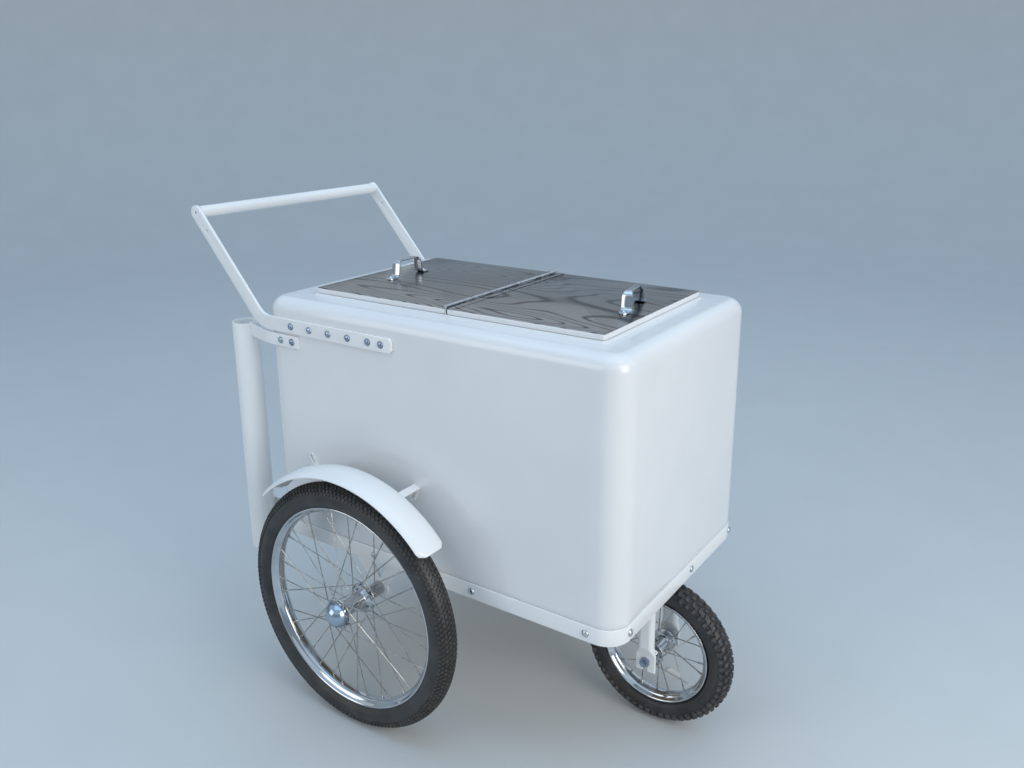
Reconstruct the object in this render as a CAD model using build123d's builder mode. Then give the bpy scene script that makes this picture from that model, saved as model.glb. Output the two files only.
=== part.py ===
from build123d import *
from math import atan2, cos, degrees, hypot, radians, sin
import os

# Push vending cart: an insulated box on two large rear wheels and one small swivelling front wheel.
# All sizes are in millimetres. +X points to the front wheel, +Y to the left side, +Z up.
# The ground is z = 0 and the middle of the whole cart's length is x = 0.

# Insulated box
body_length = 840
body_width = 540
body_corner_r = 45
deck_z = 842
deck_edge_r = 38
skin = 4                        # outer fibreglass wall
liner_wall = 2
liner_corner_r = 12
throat_margin = 25              # from the lid's edge in to the storage opening
floor_foam = 45
foam_joint = 0.2                # glue line between foam panels
panel_thickness = 18            # plywood under the foam

# Angle-iron rail under the box
rail_bottom_z = 316
rail_height = 32
rail_wall = 3
rail_flange = 30
rail_proud = 1.5                # rail face beyond the box face
rail_bolt_pitch = 249
rail_bolt_lead = 63             # from the box's front face to the first side bolt
front_bolt_ys = (-225, 38, 235)
rear_bolt_ys = (-225, 0, 225)
rail_bolt_count = 4             # along each side
rail_bolt_r = 3

# Lids
lid_length = 677
lid_width = 396
lid_shift = 4                   # lids' middle ahead of the box's middle
collar_height = 3
collar_margin = 5
lid_rest_gap = 0.3
lid_panel_thickness = 10.2
lid_sheet = 1.5
lid_corner_r = 4
lid_half_gap = 2                # from the hinge line to each leaf's edge
sheet_trim = 2                  # how much shorter and narrower the sheet is than its panel
sheet_corner_r = 3
centre_bar_width = 44
centre_bar_depth = 24

# Piano hinge between the lids
hinge_pin_r = 1.6
hinge_barrel_r = 3
hinge_leaf_width = 17
hinge_leaf_thickness = 0.8
hinge_knuckles = 13
knuckle_gap = 0.4
pin_clearance = 0.05
hinge_web = 2

# Lid pulls
pull_length = 136
pull_height = 38
pull_strap = 3
pull_width = 20
pull_foot = 26
pull_from_front = 49            # pull's middle to the front lid's front edge
pull_from_rear = 77             # pull's middle to the rear lid's rear edge
pull_lean = 3                   # each leg leans in by this
pull_bend_r = 7
pull_screw_r = 5
pull_screw_height = 2
pull_screw_shift = 1            # screw's middle beyond the foot's middle

# Handle
arm_width = 30
arm_thickness = 6
arm_below_deck = 52.5           # arm's middle below the deck
arm_front_x = -66               # front end of the arm, from the box's middle
arm_bend_back = 2               # bend's corner behind the box's rear face
arm_bend_r = 55
arm_end_cut = 7
arm_edge_cut = 0.8
handle_back = 183               # push bar behind the box's rear face
handle_rise = 211.5             # push bar above the arm's middle
push_bar_r = 12.7
push_bar_wall = 2
arm_bolt_offsets = (26, 59, 111.5, 164, 216.5, 269)
arm_bolt_r = 3.2
bolt_head_r = 7.5
bolt_head_height = 4
bolt_clearance = 0.3
arm_hole_r = 2.6
arm_hole_down = 48              # small hole, below the push bar along the arm

# Umbrella tube
tube_r = 28.5
tube_wall = 2
tube_back = 93                  # tube's middle behind the box's rear face
tube_in = 27                    # tube's middle in from the box's side face
tube_bottom_z = 238
tube_top_z = 770
strap_height = 26
strap_thickness = 5
strap_below_arm = 5
strap_front_x = -319
strap_bend_x = -408
strap_bolt_offsets = (17, 49)
bracket_thickness = 6
bracket_height = 30

# Rear wheels
rear_axle_x = -133              # from the box's middle
rear_tyre_r = 260
rear_tyre_section = 27.5
rear_rim_r = 215.7
rear_rim_half = 17
rear_half_track = 352
rear_spokes = 36
rear_cross_angle = 60           # turn of a spoke from the hub to the rim
rear_flange_r = 32
rear_flange_y = 35
rear_hub_half = 42
rear_axle_r = 10
shoulder_margin = 4             # axle's shoulder beyond its shank
nut_margin = 5                  # nut's corners beyond its shank
nut_relief = 1                  # nut is this much lower than its seat's room
axle_tail = 2
bracket_plate = 6
boss_r = 22
rear_strut = (-78, -34)         # top of each strut, from the axle
front_strut = (44, 70)
strut_foot = 15
hub_barrel_r = 17
hub_flange_thickness = 3
housing_margin = 2              # housing is this much longer than its bearing
hub_bore_gap = 2
bearing_r = 21
bearing_width = 12
bearing_seat = 0.02
hub_shell = 4
cap_r = 25
cap_depth = 19
cap_wall = 1.5

# Fenders
fender_gap = 32                 # crown's top beyond the tyre
fender_width = 70
fender_crown = 8
fender_sheet = 2
fender_front_angle = 40
fender_rear_angle = 137
fender_tab_angle = 124
fender_stay_angle = 66
tab_width = 15
tab_height = 36
tab_thickness = 2.5
tab_slot_r = 2.8
tab_slot_length = 21
tab_slot_shift = 4              # slot's middle towards the tab's free end

# Front wheel and swivelling fork
front_inset = 45                # front axle behind the box's front face
front_tyre_r = 158.5
front_tyre_section = 27
front_rim_r = 115
front_rim_half = 18
front_spokes = 20
front_cross_angle = 36
front_flange_r = 25
front_flange_y = 28
front_hub_half = 49
front_barrel_r = 15
front_axle_r = 5
lens_spoke = 4                  # which of the outer, forward-leaning spokes holds the reflector
lens_length = 34
lens_width = 18
lens_thickness = 6
swivel_trail = 45               # front axle ahead of the swivel's axis
leg_y = 56
leg_width = 32
leg_depth = 20
foot_width = 42
foot_depth = 6
foot_drop = 21
slot_overrun = 2
leg_taper_low = 14
leg_taper_high = 32
crown_gap = 5                   # fork crown above the front tyre
crown_thickness = 8
crown_corner_r = 14
kingpin_r = 10
kingpin_hole_r = 28             # room for the nut in the plywood
thrust_r = 36
head_plate_thickness = 8
head_plate_half = 60
cross_plate_half = 34
nut_height = 8
kingpin_nut_margin = 6
front_axle_tail = 6

# Shared values
tyre_wall = 6.5
bead_depth = 8
bead_overlap = 2
bead_width = 5
rim_wall = 2.5
spoke_r = 1.1
spoke_rim_y = 4
spoke_flange_inset = 5          # hub holes in from the flange's rim
spoke_outside = 5               # outer spokes run this far beyond the flange's middle
spoke_inside = 3
spoke_end_gap = 0.4
rim_well_drop = 16
rim_shoulder_drop = 9
rim_lip = 1
running_gap = 0.05              # shaft in a hole, on the radius
seat_gap = 0.3                  # between touching pieces of different bodies

os.makedirs("parts", exist_ok=True)

# Levels and places worked out from the sizes above
rear_reach = body_length / 2 + handle_back + arm_width / 2
front_reach = body_length / 2 - front_inset + front_tyre_r
cart_x = (rear_reach - front_reach) / 2
body_rear_x = cart_x - body_length / 2
body_front_x = cart_x + body_length / 2
side_y = body_width / 2
rail_top_z = rail_bottom_z + rail_height
panel_top_z = rail_top_z + panel_thickness
floor_z = panel_top_z + floor_foam
lid_x = cart_x + lid_shift
lid_bottom_z = deck_z + collar_height + lid_rest_gap
sheet_bottom_z = lid_bottom_z + lid_panel_thickness
lid_top_z = sheet_bottom_z + lid_sheet
hinge_z = lid_top_z + hinge_barrel_r
throat_length = lid_length - 2 * throat_margin
throat_width = lid_width - 2 * throat_margin
arm_z = deck_z - arm_below_deck
push_bar_x = body_rear_x - handle_back
push_bar_z = arm_z + handle_rise
arm_bend_x = body_rear_x - arm_bend_back
rear_x = cart_x + rear_axle_x
front_x = body_front_x - front_inset
swivel_x = front_x - swivel_trail
crown_z = 2 * front_tyre_r + crown_gap
crown_top_z = crown_z + crown_thickness
head_plate_z = rail_top_z - rail_wall - head_plate_thickness
tube_x = body_rear_x - tube_back
tube_y = -(side_y - tube_in)
rail_bolt_z = (rail_bottom_z + rail_top_z) / 2
SIDES = (("right", -1), ("left", 1))


def save(piece, name):
    piece.label = name
    export_step(piece, f"parts/{name}.step")


def y_plane(y, side):
    """Plane whose normal points outward on that side, with local x along the cart's x."""
    return Plane(origin=(0, y, 0), x_dir=(-side, 0, 0), z_dir=(0, side, 0))


def flat_point(x, z, side):
    return (-side * x, z)


# ---- Box ----------------------------------------------------------------------------------------

def box_outline(inset):
    RectangleRounded(body_length - 2 * inset, body_width - 2 * inset, body_corner_r - inset)


def box_block(inset, bottom_z):
    """Solid of the box's outer form, shrunk by inset on the sides and the top."""
    with BuildPart() as block:
        with BuildSketch(Plane.XY.offset(bottom_z)):
            with Locations((cart_x, 0)):
                box_outline(inset)
        extrude(amount=deck_z - inset - bottom_z)
        fillet(block.faces().sort_by(Axis.Z)[-1].edges(), deck_edge_r - inset)
    return block.part


with BuildPart() as body_shell:
    add(box_block(0, rail_top_z))
    with BuildSketch(Plane.XY.offset(deck_z)):
        with Locations((lid_x, 0)):
            collar_length = lid_length + 2 * collar_margin
            collar_width = lid_width + 2 * collar_margin
            RectangleRounded(collar_length, collar_width, lid_corner_r + collar_margin)
    extrude(amount=collar_height)
    add(box_block(skin, rail_top_z), mode=Mode.SUBTRACT)
    with BuildSketch(Plane.XY.offset(rail_top_z)):
        with Locations((lid_x, 0)):
            RectangleRounded(throat_length, throat_width, liner_corner_r)
    extrude(amount=deck_z, mode=Mode.SUBTRACT)
    for side_name, side in SIDES:
        with BuildSketch(y_plane(side * (side_y - skin), side)):
            for offset_x in arm_bolt_offsets:
                with Locations(flat_point(cart_x + arm_front_x - offset_x, arm_z, side)):
                    Circle(arm_bolt_r + bolt_clearance)
        extrude(amount=skin, mode=Mode.SUBTRACT)
    with BuildSketch(y_plane(-(side_y - skin), -1)):
        for offset_x in strap_bolt_offsets:
            strap_z = arm_z - arm_width / 2 - strap_below_arm - strap_height / 2
            with Locations(flat_point(cart_x + strap_front_x - offset_x, strap_z, -1)):
                Circle(arm_bolt_r + bolt_clearance)
    extrude(amount=skin, mode=Mode.SUBTRACT)
save(body_shell.part, "body_shell")

# The liner is a tub: four walls and a floor, hung in the deck's opening.
with BuildPart() as inner_liner:
    with BuildSketch(Plane.XY.offset(floor_z)):
        with Locations((lid_x, 0)):
            RectangleRounded(throat_length, throat_width, liner_corner_r)
    extrude(amount=deck_z + collar_height - floor_z)
    with BuildSketch(Plane.XY.offset(floor_z + liner_wall)):
        with Locations((lid_x, 0)):
            inner_length = throat_length - 2 * liner_wall
            inner_width = throat_width - 2 * liner_wall
            RectangleRounded(inner_length, inner_width, liner_corner_r - liner_wall)
    extrude(amount=deck_z, mode=Mode.SUBTRACT)
save(inner_liner.part, "inner_liner")

# Foam: two end panels across the full width, two side panels between them, and a floor panel.
throat_rear_x = lid_x - throat_length / 2
throat_front_x = lid_x + throat_length / 2
core = box_block(skin, panel_top_z)


def foam_panel(low, high):
    """The part of the core between two corners, given as (x, y, z), less half a joint all round."""
    size = [high[axis] - low[axis] - foam_joint for axis in range(3)]
    middle = tuple((high[axis] + low[axis]) / 2 for axis in range(3))
    with BuildPart() as panel:
        add(core)
        with Locations(middle):
            Box(*size, mode=Mode.INTERSECT)
    return panel.part


with BuildPart() as insulation_panels:
    half_throat = throat_width / 2
    add(foam_panel((body_rear_x, -side_y, panel_top_z), (throat_rear_x, side_y, deck_z)))
    add(foam_panel((throat_front_x, -side_y, panel_top_z), (body_front_x, side_y, deck_z)))
    add(foam_panel((throat_rear_x, -side_y, panel_top_z), (throat_front_x, -half_throat, deck_z)))
    add(foam_panel((throat_rear_x, half_throat, panel_top_z), (throat_front_x, side_y, deck_z)))
    add(foam_panel((throat_rear_x, -half_throat, panel_top_z), (throat_front_x, half_throat, floor_z)))
save(insulation_panels.part, "insulation_panels")

with BuildPart() as base_panel:
    with BuildSketch(Plane.XY.offset(rail_top_z)):
        with Locations((cart_x, 0)):
            box_outline(skin)
        with Locations((swivel_x, 0)):
            Circle(kingpin_hole_r, mode=Mode.SUBTRACT)
    extrude(amount=panel_thickness)
save(base_panel.part, "base_panel")

# ---- Rail, cross plates and their bolts -----------------------------------------------------------

bolt_xs = [body_front_x - rail_bolt_lead - rail_bolt_pitch * k for k in range(rail_bolt_count)]
rail_bolts_at = [(x, side * (side_y + rail_proud), (0, side, 0)) for x in bolt_xs for _, side in SIDES]
rail_bolts_at += [(body_front_x + rail_proud, y, (1, 0, 0)) for y in front_bolt_ys]
rail_bolts_at += [(body_rear_x - rail_proud, y, (-1, 0, 0)) for y in rear_bolt_ys]


def bolt_plane(place):
    x, y, normal = place
    return Plane(origin=(x, y, rail_bolt_z), z_dir=normal)


with BuildPart() as base_rail:
    with BuildSketch(Plane.XY.offset(rail_bottom_z)):
        with Locations((cart_x, 0)):
            box_outline(-rail_proud)
            offset(amount=-rail_wall, kind=Kind.INTERSECTION, mode=Mode.SUBTRACT)
    extrude(amount=rail_height)
    with BuildSketch(Plane.XY.offset(rail_top_z - rail_wall)):
        with Locations((cart_x, 0)):
            box_outline(-rail_proud)
            flange_inset = rail_flange - rail_proud
            RectangleRounded(body_length - 2 * flange_inset, body_width - 2 * flange_inset,
                             body_corner_r - flange_inset, mode=Mode.SUBTRACT)
    extrude(amount=rail_wall)
    for place in rail_bolts_at:
        with BuildSketch(bolt_plane(place)):
            Circle(rail_bolt_r + bolt_clearance)
        extrude(amount=-rail_wall, mode=Mode.SUBTRACT)
save(base_rail.part, "base_rail")


def dome_bolt(plane, grip, shank_r):
    """Dome-head bolt: the head stands on the plane, the shank goes grip deep behind it."""
    with BuildPart(mode=Mode.PRIVATE) as bolt:
        sphere_r = (bolt_head_r ** 2 + bolt_head_height ** 2) / (2 * bolt_head_height)
        with BuildSketch(plane):
            Circle(bolt_head_r)
        extrude(amount=bolt_head_height)
        with Locations(Location(plane.offset(bolt_head_height - sphere_r))):
            Sphere(sphere_r, mode=Mode.INTERSECT)
        with BuildSketch(plane):
            Circle(shank_r)
        extrude(amount=-grip)
    return bolt.part


with BuildPart() as rail_bolts:
    for place in rail_bolts_at:
        add(dome_bolt(bolt_plane(place), rail_wall, rail_bolt_r))
save(rail_bolts.part, "rail_bolts")

inner_half = side_y + rail_proud - rail_wall
plate_top_z = rail_top_z - rail_wall

with BuildPart() as steering_plate:
    with BuildSketch(Plane.XY.offset(head_plate_z)):
        with Locations((swivel_x, 0)):
            Rectangle(2 * head_plate_half, 2 * inner_half)
            Circle(kingpin_r + running_gap, mode=Mode.SUBTRACT)
        with Locations((cart_x, 0)):
            rail_inset = rail_wall - rail_proud
            RectangleRounded(body_length - 2 * rail_inset, body_width - 2 * rail_inset,
                             body_corner_r - rail_inset, mode=Mode.INTERSECT)
    extrude(amount=head_plate_thickness)
save(steering_plate.part, "steering_plate")

with BuildPart() as axle_plate:
    with BuildSketch(Plane.XY.offset(head_plate_z)):
        with Locations((rear_x, 0)):
            Rectangle(2 * cross_plate_half, 2 * inner_half)
    extrude(amount=head_plate_thickness)
save(axle_plate.part, "axle_plate")

# ---- Lids -----------------------------------------------------------------------------------------

with BuildPart() as centre_bar:
    with BuildSketch(Plane.XY.offset(deck_z + collar_height)):
        with Locations((lid_x, 0)):
            Rectangle(centre_bar_width, throat_width - 2 * liner_wall)
    extrude(amount=-centre_bar_depth)
save(centre_bar.part, "centre_bar")

knuckle_pitch = lid_width / hinge_knuckles
LID_ENDS = (("rear", -1), ("front", 1))
lid_reach = lid_length / 2 - lid_half_gap


def knuckle_spans(owner):
    """Start and end of each knuckle of one owner along the pin: 0 is the fixed base."""
    owners = {0: (0, 6, 12), -1: (1, 4, 7, 10), 1: (2, 3, 5, 8, 9, 11)}
    spans = []
    for k in owners[owner]:
        start = -lid_width / 2 + k * knuckle_pitch
        spans.append((start + knuckle_gap / 2, start + knuckle_pitch - knuckle_gap / 2))
    return spans


def hinge_section(start):
    return Plane(origin=(lid_x, start, hinge_z), x_dir=(1, 0, 0), z_dir=(0, 1, 0))


with BuildPart() as hinge_pin:
    with BuildSketch(hinge_section(-lid_width / 2)):
        Circle(hinge_pin_r)
    extrude(amount=lid_width)
save(hinge_pin.part, "hinge_pin")

with BuildPart() as hinge_base:
    for start, end in knuckle_spans(0):
        with BuildSketch(hinge_section(start)):
            Circle(hinge_barrel_r)
            web_height = hinge_z - deck_z - collar_height
            with Locations((0, web_height / 2)):
                Rectangle(hinge_web, web_height)
            Circle(hinge_pin_r, mode=Mode.SUBTRACT)
        extrude(amount=end - start)
save(hinge_base.part, "hinge_base")


def lid_leaf_centre(end):
    return (lid_x + end * (lid_half_gap + lid_reach / 2), 0)


def pull_x(end):
    inset = pull_from_front if end > 0 else pull_from_rear
    return lid_x + end * (lid_length / 2 - inset)


for end_name, end in LID_ENDS:
    with BuildPart() as lid_panel:
        with BuildSketch(Plane.XY.offset(lid_bottom_z)):
            with Locations(lid_leaf_centre(end)):
                Rectangle(lid_reach, lid_width)
        extrude(amount=lid_panel_thickness)
        fillet(lid_panel.edges().filter_by(Axis.Z), lid_corner_r)
    save(lid_panel.part, f"{end_name}_lid_panel")

    with BuildPart() as lid_sheet_part:
        with BuildSketch(Plane.XY.offset(sheet_bottom_z)):
            with Locations(lid_leaf_centre(end)):
                RectangleRounded(lid_reach - sheet_trim, lid_width - sheet_trim, sheet_corner_r)
        extrude(amount=lid_sheet)
    save(lid_sheet_part.part, f"{end_name}_lid_sheet")

    with BuildPart() as hinge_leaf:
        with BuildSketch(Plane.XY.offset(lid_top_z)):
            leaf_inner = hinge_barrel_r + knuckle_gap
            leaf_middle = lid_x + end * (leaf_inner + hinge_leaf_width / 2)
            with Locations((leaf_middle, 0)):
                Rectangle(hinge_leaf_width, lid_width)
        extrude(amount=hinge_leaf_thickness)
        for start, stop in knuckle_spans(end):
            with BuildSketch(hinge_section(start)):
                Circle(hinge_barrel_r)
                tongue = leaf_inner + hinge_leaf_thickness
                tongue_z = hinge_barrel_r - hinge_leaf_thickness / 2
                with Locations((end * tongue / 2, tongue_z)):
                    Rectangle(tongue, hinge_leaf_thickness)
                Circle(hinge_pin_r + pin_clearance, mode=Mode.SUBTRACT)
            extrude(amount=stop - start)
    save(hinge_leaf.part, f"{end_name}_hinge_leaf")

    # Bow pull: one strap from foot to foot, drawn in the plane across the cart.
    with BuildPart() as lid_pull:
        half = pull_length / 2
        leg_foot = half - pull_foot
        top_mid = pull_height - pull_strap / 2
        low_mid = pull_strap / 2
        with BuildSketch(Plane(origin=(pull_x(end), 0, lid_top_z), x_dir=(0, 1, 0), z_dir=(1, 0, 0))):
            with BuildLine():
                FilletPolyline((-half, low_mid), (-leg_foot, low_mid), (-leg_foot + pull_lean, top_mid),
                               (leg_foot - pull_lean, top_mid), (leg_foot, low_mid), (half, low_mid),
                               radius=pull_bend_r)
            trace(line_width=pull_strap)
        extrude(amount=pull_width / 2, both=True)
        fillet(lid_pull.edges().filter_by(Axis.Z).group_by(Axis.Y)[0], pull_width / 2 - 1)
        fillet(lid_pull.edges().filter_by(Axis.Z).group_by(Axis.Y)[-1], pull_width / 2 - 1)
    save(lid_pull.part, f"{end_name}_lid_pull")

    with BuildPart() as pull_screws:
        screw_y = half - pull_foot / 2 + pull_screw_shift
        with Locations((pull_x(end), -screw_y, lid_top_z + pull_strap),
                       (pull_x(end), screw_y, lid_top_z + pull_strap)):
            Cone(pull_screw_r, pull_screw_r / 2, pull_screw_height,
                 align=(Align.CENTER, Align.CENTER, Align.MIN))
    save(pull_screws.part, f"{end_name}_pull_screws")

# ---- Handle ---------------------------------------------------------------------------------------

arm_rise_angle = atan2(push_bar_z - arm_z, push_bar_x - arm_bend_x)
arm_front = cart_x + arm_front_x

for side_name, side in SIDES:
    def on_side(x, z, hand=side):
        return flat_point(x, z, hand)

    with BuildPart() as handle_arm:
        with BuildSketch(y_plane(side * side_y, side)):
            with BuildLine():
                FilletPolyline(on_side(arm_front, arm_z), on_side(arm_bend_x, arm_z),
                               on_side(push_bar_x, push_bar_z), radius=arm_bend_r)
            trace(line_width=arm_width)
            with Locations(on_side(push_bar_x, push_bar_z)):
                Circle(arm_width / 2)
            for edge_z in (arm_z + arm_width / 2, arm_z - arm_width / 2):
                with Locations(on_side(arm_front, edge_z)):
                    Rectangle(arm_end_cut, arm_end_cut, rotation=45, mode=Mode.SUBTRACT)
            for offset_x in arm_bolt_offsets:
                with Locations(on_side(arm_front - offset_x, arm_z)):
                    Circle(arm_bolt_r + bolt_clearance, mode=Mode.SUBTRACT)
            hole_x = push_bar_x - cos(arm_rise_angle) * arm_hole_down
            hole_z = push_bar_z - sin(arm_rise_angle) * arm_hole_down
            with Locations(on_side(hole_x, hole_z), on_side(push_bar_x, push_bar_z)):
                Circle(arm_hole_r, mode=Mode.SUBTRACT)
        extrude(amount=arm_thickness)
        rim_edges = handle_arm.faces().filter_by(Axis.Y).sort_by(Axis.Y)[-1 if side > 0 else 0].outer_wire()
        chamfer(rim_edges.edges(), arm_edge_cut)
    save(handle_arm.part, f"{side_name}_handle_arm")

with BuildPart() as push_bar:
    with BuildSketch(Plane(origin=(push_bar_x, 0, push_bar_z), x_dir=(1, 0, 0), z_dir=(0, 1, 0))):
        Circle(push_bar_r)
        Circle(push_bar_r - push_bar_wall, mode=Mode.SUBTRACT)
    extrude(amount=side_y, both=True)
save(push_bar.part, "push_bar")

with BuildPart() as arm_bolts:
    for side_name, side in SIDES:
        for offset_x in arm_bolt_offsets:
            head_at = (arm_front - offset_x, side * (side_y + arm_thickness), arm_z)
            add(dome_bolt(Plane(origin=head_at, z_dir=(0, side, 0)), arm_thickness + skin, arm_bolt_r))
save(arm_bolts.part, "arm_bolts")

# ---- Umbrella tube --------------------------------------------------------------------------------

with BuildPart() as umbrella_tube:
    with BuildSketch(Plane.XY.offset(tube_bottom_z)):
        with Locations((tube_x, tube_y)):
            Circle(tube_r)
            Circle(tube_r - tube_wall, mode=Mode.SUBTRACT)
    extrude(amount=tube_top_z - tube_bottom_z)
save(umbrella_tube.part, "umbrella_tube")

strap_y = -(side_y + strap_thickness / 2)
strap_bend = cart_x + strap_bend_x
to_tube_x = tube_x - strap_bend
to_tube_y = tube_y - strap_y
to_tube = hypot(to_tube_x, to_tube_y)
strap_stop = 1 - tube_r / to_tube

with BuildPart() as umbrella_strap:
    with BuildSketch(Plane.XY.offset(strap_z - strap_height / 2)):
        with BuildLine():
            Polyline((cart_x + strap_front_x, strap_y), (strap_bend, strap_y),
                     (strap_bend + to_tube_x * strap_stop, strap_y + to_tube_y * strap_stop))
        trace(line_width=strap_thickness)
        with Locations((tube_x, tube_y)):
            Circle(tube_r, mode=Mode.SUBTRACT)
    extrude(amount=strap_height)
    for offset_x in strap_bolt_offsets:
        with BuildSketch(y_plane(-side_y, -1)):
            with Locations(flat_point(cart_x + strap_front_x - offset_x, strap_z, -1)):
                Circle(arm_bolt_r + bolt_clearance)
        extrude(amount=strap_thickness, mode=Mode.SUBTRACT)
save(umbrella_strap.part, "umbrella_strap")

with BuildPart() as strap_bolts:
    for offset_x in strap_bolt_offsets:
        head_at = (cart_x + strap_front_x - offset_x, -(side_y + strap_thickness), strap_z)
        add(dome_bolt(Plane(origin=head_at, z_dir=(0, -1, 0)), strap_thickness + skin, arm_bolt_r))
save(strap_bolts.part, "strap_bolts")

# The lower bracket runs from the rail's rear face to the tube's inner side.
with BuildPart() as umbrella_bracket:
    bracket_low_x = tube_x - tube_r / 2
    bracket_high_x = body_rear_x - rail_proud
    with BuildSketch(Plane.XY.offset(rail_bottom_z)):
        with Locations(((bracket_low_x + bracket_high_x) / 2, tube_y + tube_r + bracket_thickness / 2)):
            Rectangle(bracket_high_x - bracket_low_x, bracket_thickness)
        with Locations((tube_x, tube_y + tube_r / 2 + bracket_thickness / 2)):
            Rectangle(tube_r, tube_r + bracket_thickness)
        with Locations((tube_x, tube_y)):
            Circle(tube_r, mode=Mode.SUBTRACT)
    extrude(amount=bracket_height)
save(umbrella_bracket.part, "umbrella_bracket")

# ---- Rear axles and their brackets ----------------------------------------------------------------

shoulder_end = rear_half_track - rear_hub_half - seat_gap
bracket_top_z = head_plate_z - seat_gap
bracket_face = inner_half

for side_name, side in SIDES:
    def bracket_point(offset_x, z, hand=side):
        return flat_point(rear_x + offset_x, z, hand)

    with BuildPart() as axle_bracket:
        with BuildSketch(y_plane(side * (bracket_face - bracket_plate), side)):
            for (low, high), lean in ((rear_strut, -1), (front_strut, 1)):
                with BuildLine():
                    Polyline(bracket_point(low, bracket_top_z), bracket_point(high, bracket_top_z),
                             bracket_point(strut_foot, rear_tyre_r), bracket_point(-strut_foot, rear_tyre_r),
                             close=True)
                make_face()
            with Locations(bracket_point(0, rear_tyre_r)):
                Circle(boss_r)
                Circle(rear_axle_r, mode=Mode.SUBTRACT)
        extrude(amount=bracket_plate)
    save(axle_bracket.part, f"{side_name}_axle_bracket")

    with BuildPart() as stub_axle:
        axle_in = bracket_face - bracket_plate - nut_height - axle_tail
        axle_out = rear_half_track + rear_hub_half + nut_height
        with BuildSketch(y_plane(side * axle_in, side)):
            with Locations(bracket_point(0, rear_tyre_r)):
                Circle(rear_axle_r)
        extrude(amount=axle_out - axle_in)
        with BuildSketch(y_plane(side * bracket_face, side)):
            with Locations(bracket_point(0, rear_tyre_r)):
                Circle(rear_axle_r + shoulder_margin)
        extrude(amount=shoulder_end - bracket_face)
    save(stub_axle.part, f"{side_name}_stub_axle")

with BuildPart() as axle_nuts:
    for side_name, side in SIDES:
        inner_nut = bracket_face - bracket_plate - nut_height
        outer_nut = rear_half_track + rear_hub_half + seat_gap
        for start in (inner_nut, outer_nut):
            with BuildSketch(y_plane(side * start, side)):
                with Locations(flat_point(rear_x, rear_tyre_r, side)):
                    RegularPolygon(rear_axle_r + nut_margin, 6)
                    Circle(rear_axle_r, mode=Mode.SUBTRACT)
            extrude(amount=nut_height - nut_relief)
save(axle_nuts.part, "axle_nuts")

# ---- Wheels ---------------------------------------------------------------------------------------
# A wheel's section is drawn with local x as the radius and local y along the axle, outboard.


def section_plane(centre, side):
    return Plane(origin=centre, x_dir=(0, 0, 1), z_dir=(-side, 0, 0))


def wheel_axis(centre, side):
    return Axis(origin=centre, direction=(0, side, 0))


def make_rim(centre, side, rim_r, rim_half):
    well_r = rim_r - rim_well_drop
    shoulder_r = rim_r - rim_shoulder_drop
    with BuildPart() as rim:
        with BuildSketch(section_plane(centre, side)):
            with BuildLine():
                Polyline((rim_r, -rim_half), (shoulder_r, -rim_half), (well_r, -rim_half / 2),
                         (well_r, rim_half / 2), (shoulder_r, rim_half), (rim_r, rim_half),
                         (rim_r, rim_half - rim_wall), (shoulder_r + rim_lip, rim_half - rim_wall),
                         (well_r + rim_wall, rim_half / 2 - rim_lip), (well_r + rim_wall, rim_lip - rim_half / 2),
                         (shoulder_r + rim_lip, rim_wall - rim_half), (rim_r, rim_wall - rim_half), close=True)
            make_face()
        revolve(axis=wheel_axis(centre, side))
    return rim.part


def make_tyre(centre, side, tyre_r, section_r, rim_r, rim_half):
    bead_half = rim_half - rim_wall
    with BuildPart() as tyre:
        with BuildSketch(section_plane(centre, side)):
            with Locations((tyre_r - section_r, 0)):
                Circle(section_r)
                Circle(section_r - tyre_wall, mode=Mode.SUBTRACT)
            with Locations((rim_r + rim_wall / 2 - section_r, 0)):
                Rectangle(2 * section_r, 2 * section_r, mode=Mode.SUBTRACT)
            for lean in (-1, 1):
                with Locations((rim_r - bead_depth / 2 + bead_overlap, lean * (bead_half - bead_width / 2))):
                    Rectangle(bead_depth + 2 * bead_overlap, bead_width)
        revolve(axis=wheel_axis(centre, side))
    return tyre.part


def spoke_line(wheel, count, flange_r, flange_y, well_r, cross_angle, face, lean, k):
    """Ends of one straight spoke; the wheel's plane has its z along the axle, outboard."""
    pitch = 4 * 360 / count
    first = (1 - lean) * pitch / 4 + (1 - face) * pitch / 8 + k * pitch
    hub_r = flange_r - spoke_flange_inset
    end_r = well_r - spoke_end_gap
    start_y = face * (flange_y + (spoke_outside if lean > 0 else -spoke_inside))
    start_at = radians(first)
    end_at = radians(first + lean * cross_angle)
    start = Vector(hub_r * cos(start_at), hub_r * sin(start_at), start_y)
    end = Vector(end_r * cos(end_at), end_r * sin(end_at), face * spoke_rim_y)
    return wheel.from_local_coords(start), wheel.from_local_coords(end)


def wheel_plane(centre, side):
    return Plane(origin=centre, x_dir=(1, 0, 0), z_dir=(0, side, 0))


def make_spokes(centre, side, count, flange_r, flange_y, well_r, cross_angle):
    """Straight spokes from both hub flanges to the rim, half of them leaning each way."""
    wheel = wheel_plane(centre, side)
    with BuildPart() as spokes:
        for face in (-1, 1):
            for lean in (-1, 1):
                for k in range(count // 4):
                    start, end = spoke_line(wheel, count, flange_r, flange_y, well_r, cross_angle,
                                            face, lean, k)
                    with BuildSketch(Plane(origin=start, z_dir=end - start)):
                        Circle(spoke_r)
                    extrude(amount=(end - start).length)
    return spokes.part


housing_r = bearing_r + hub_shell

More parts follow.
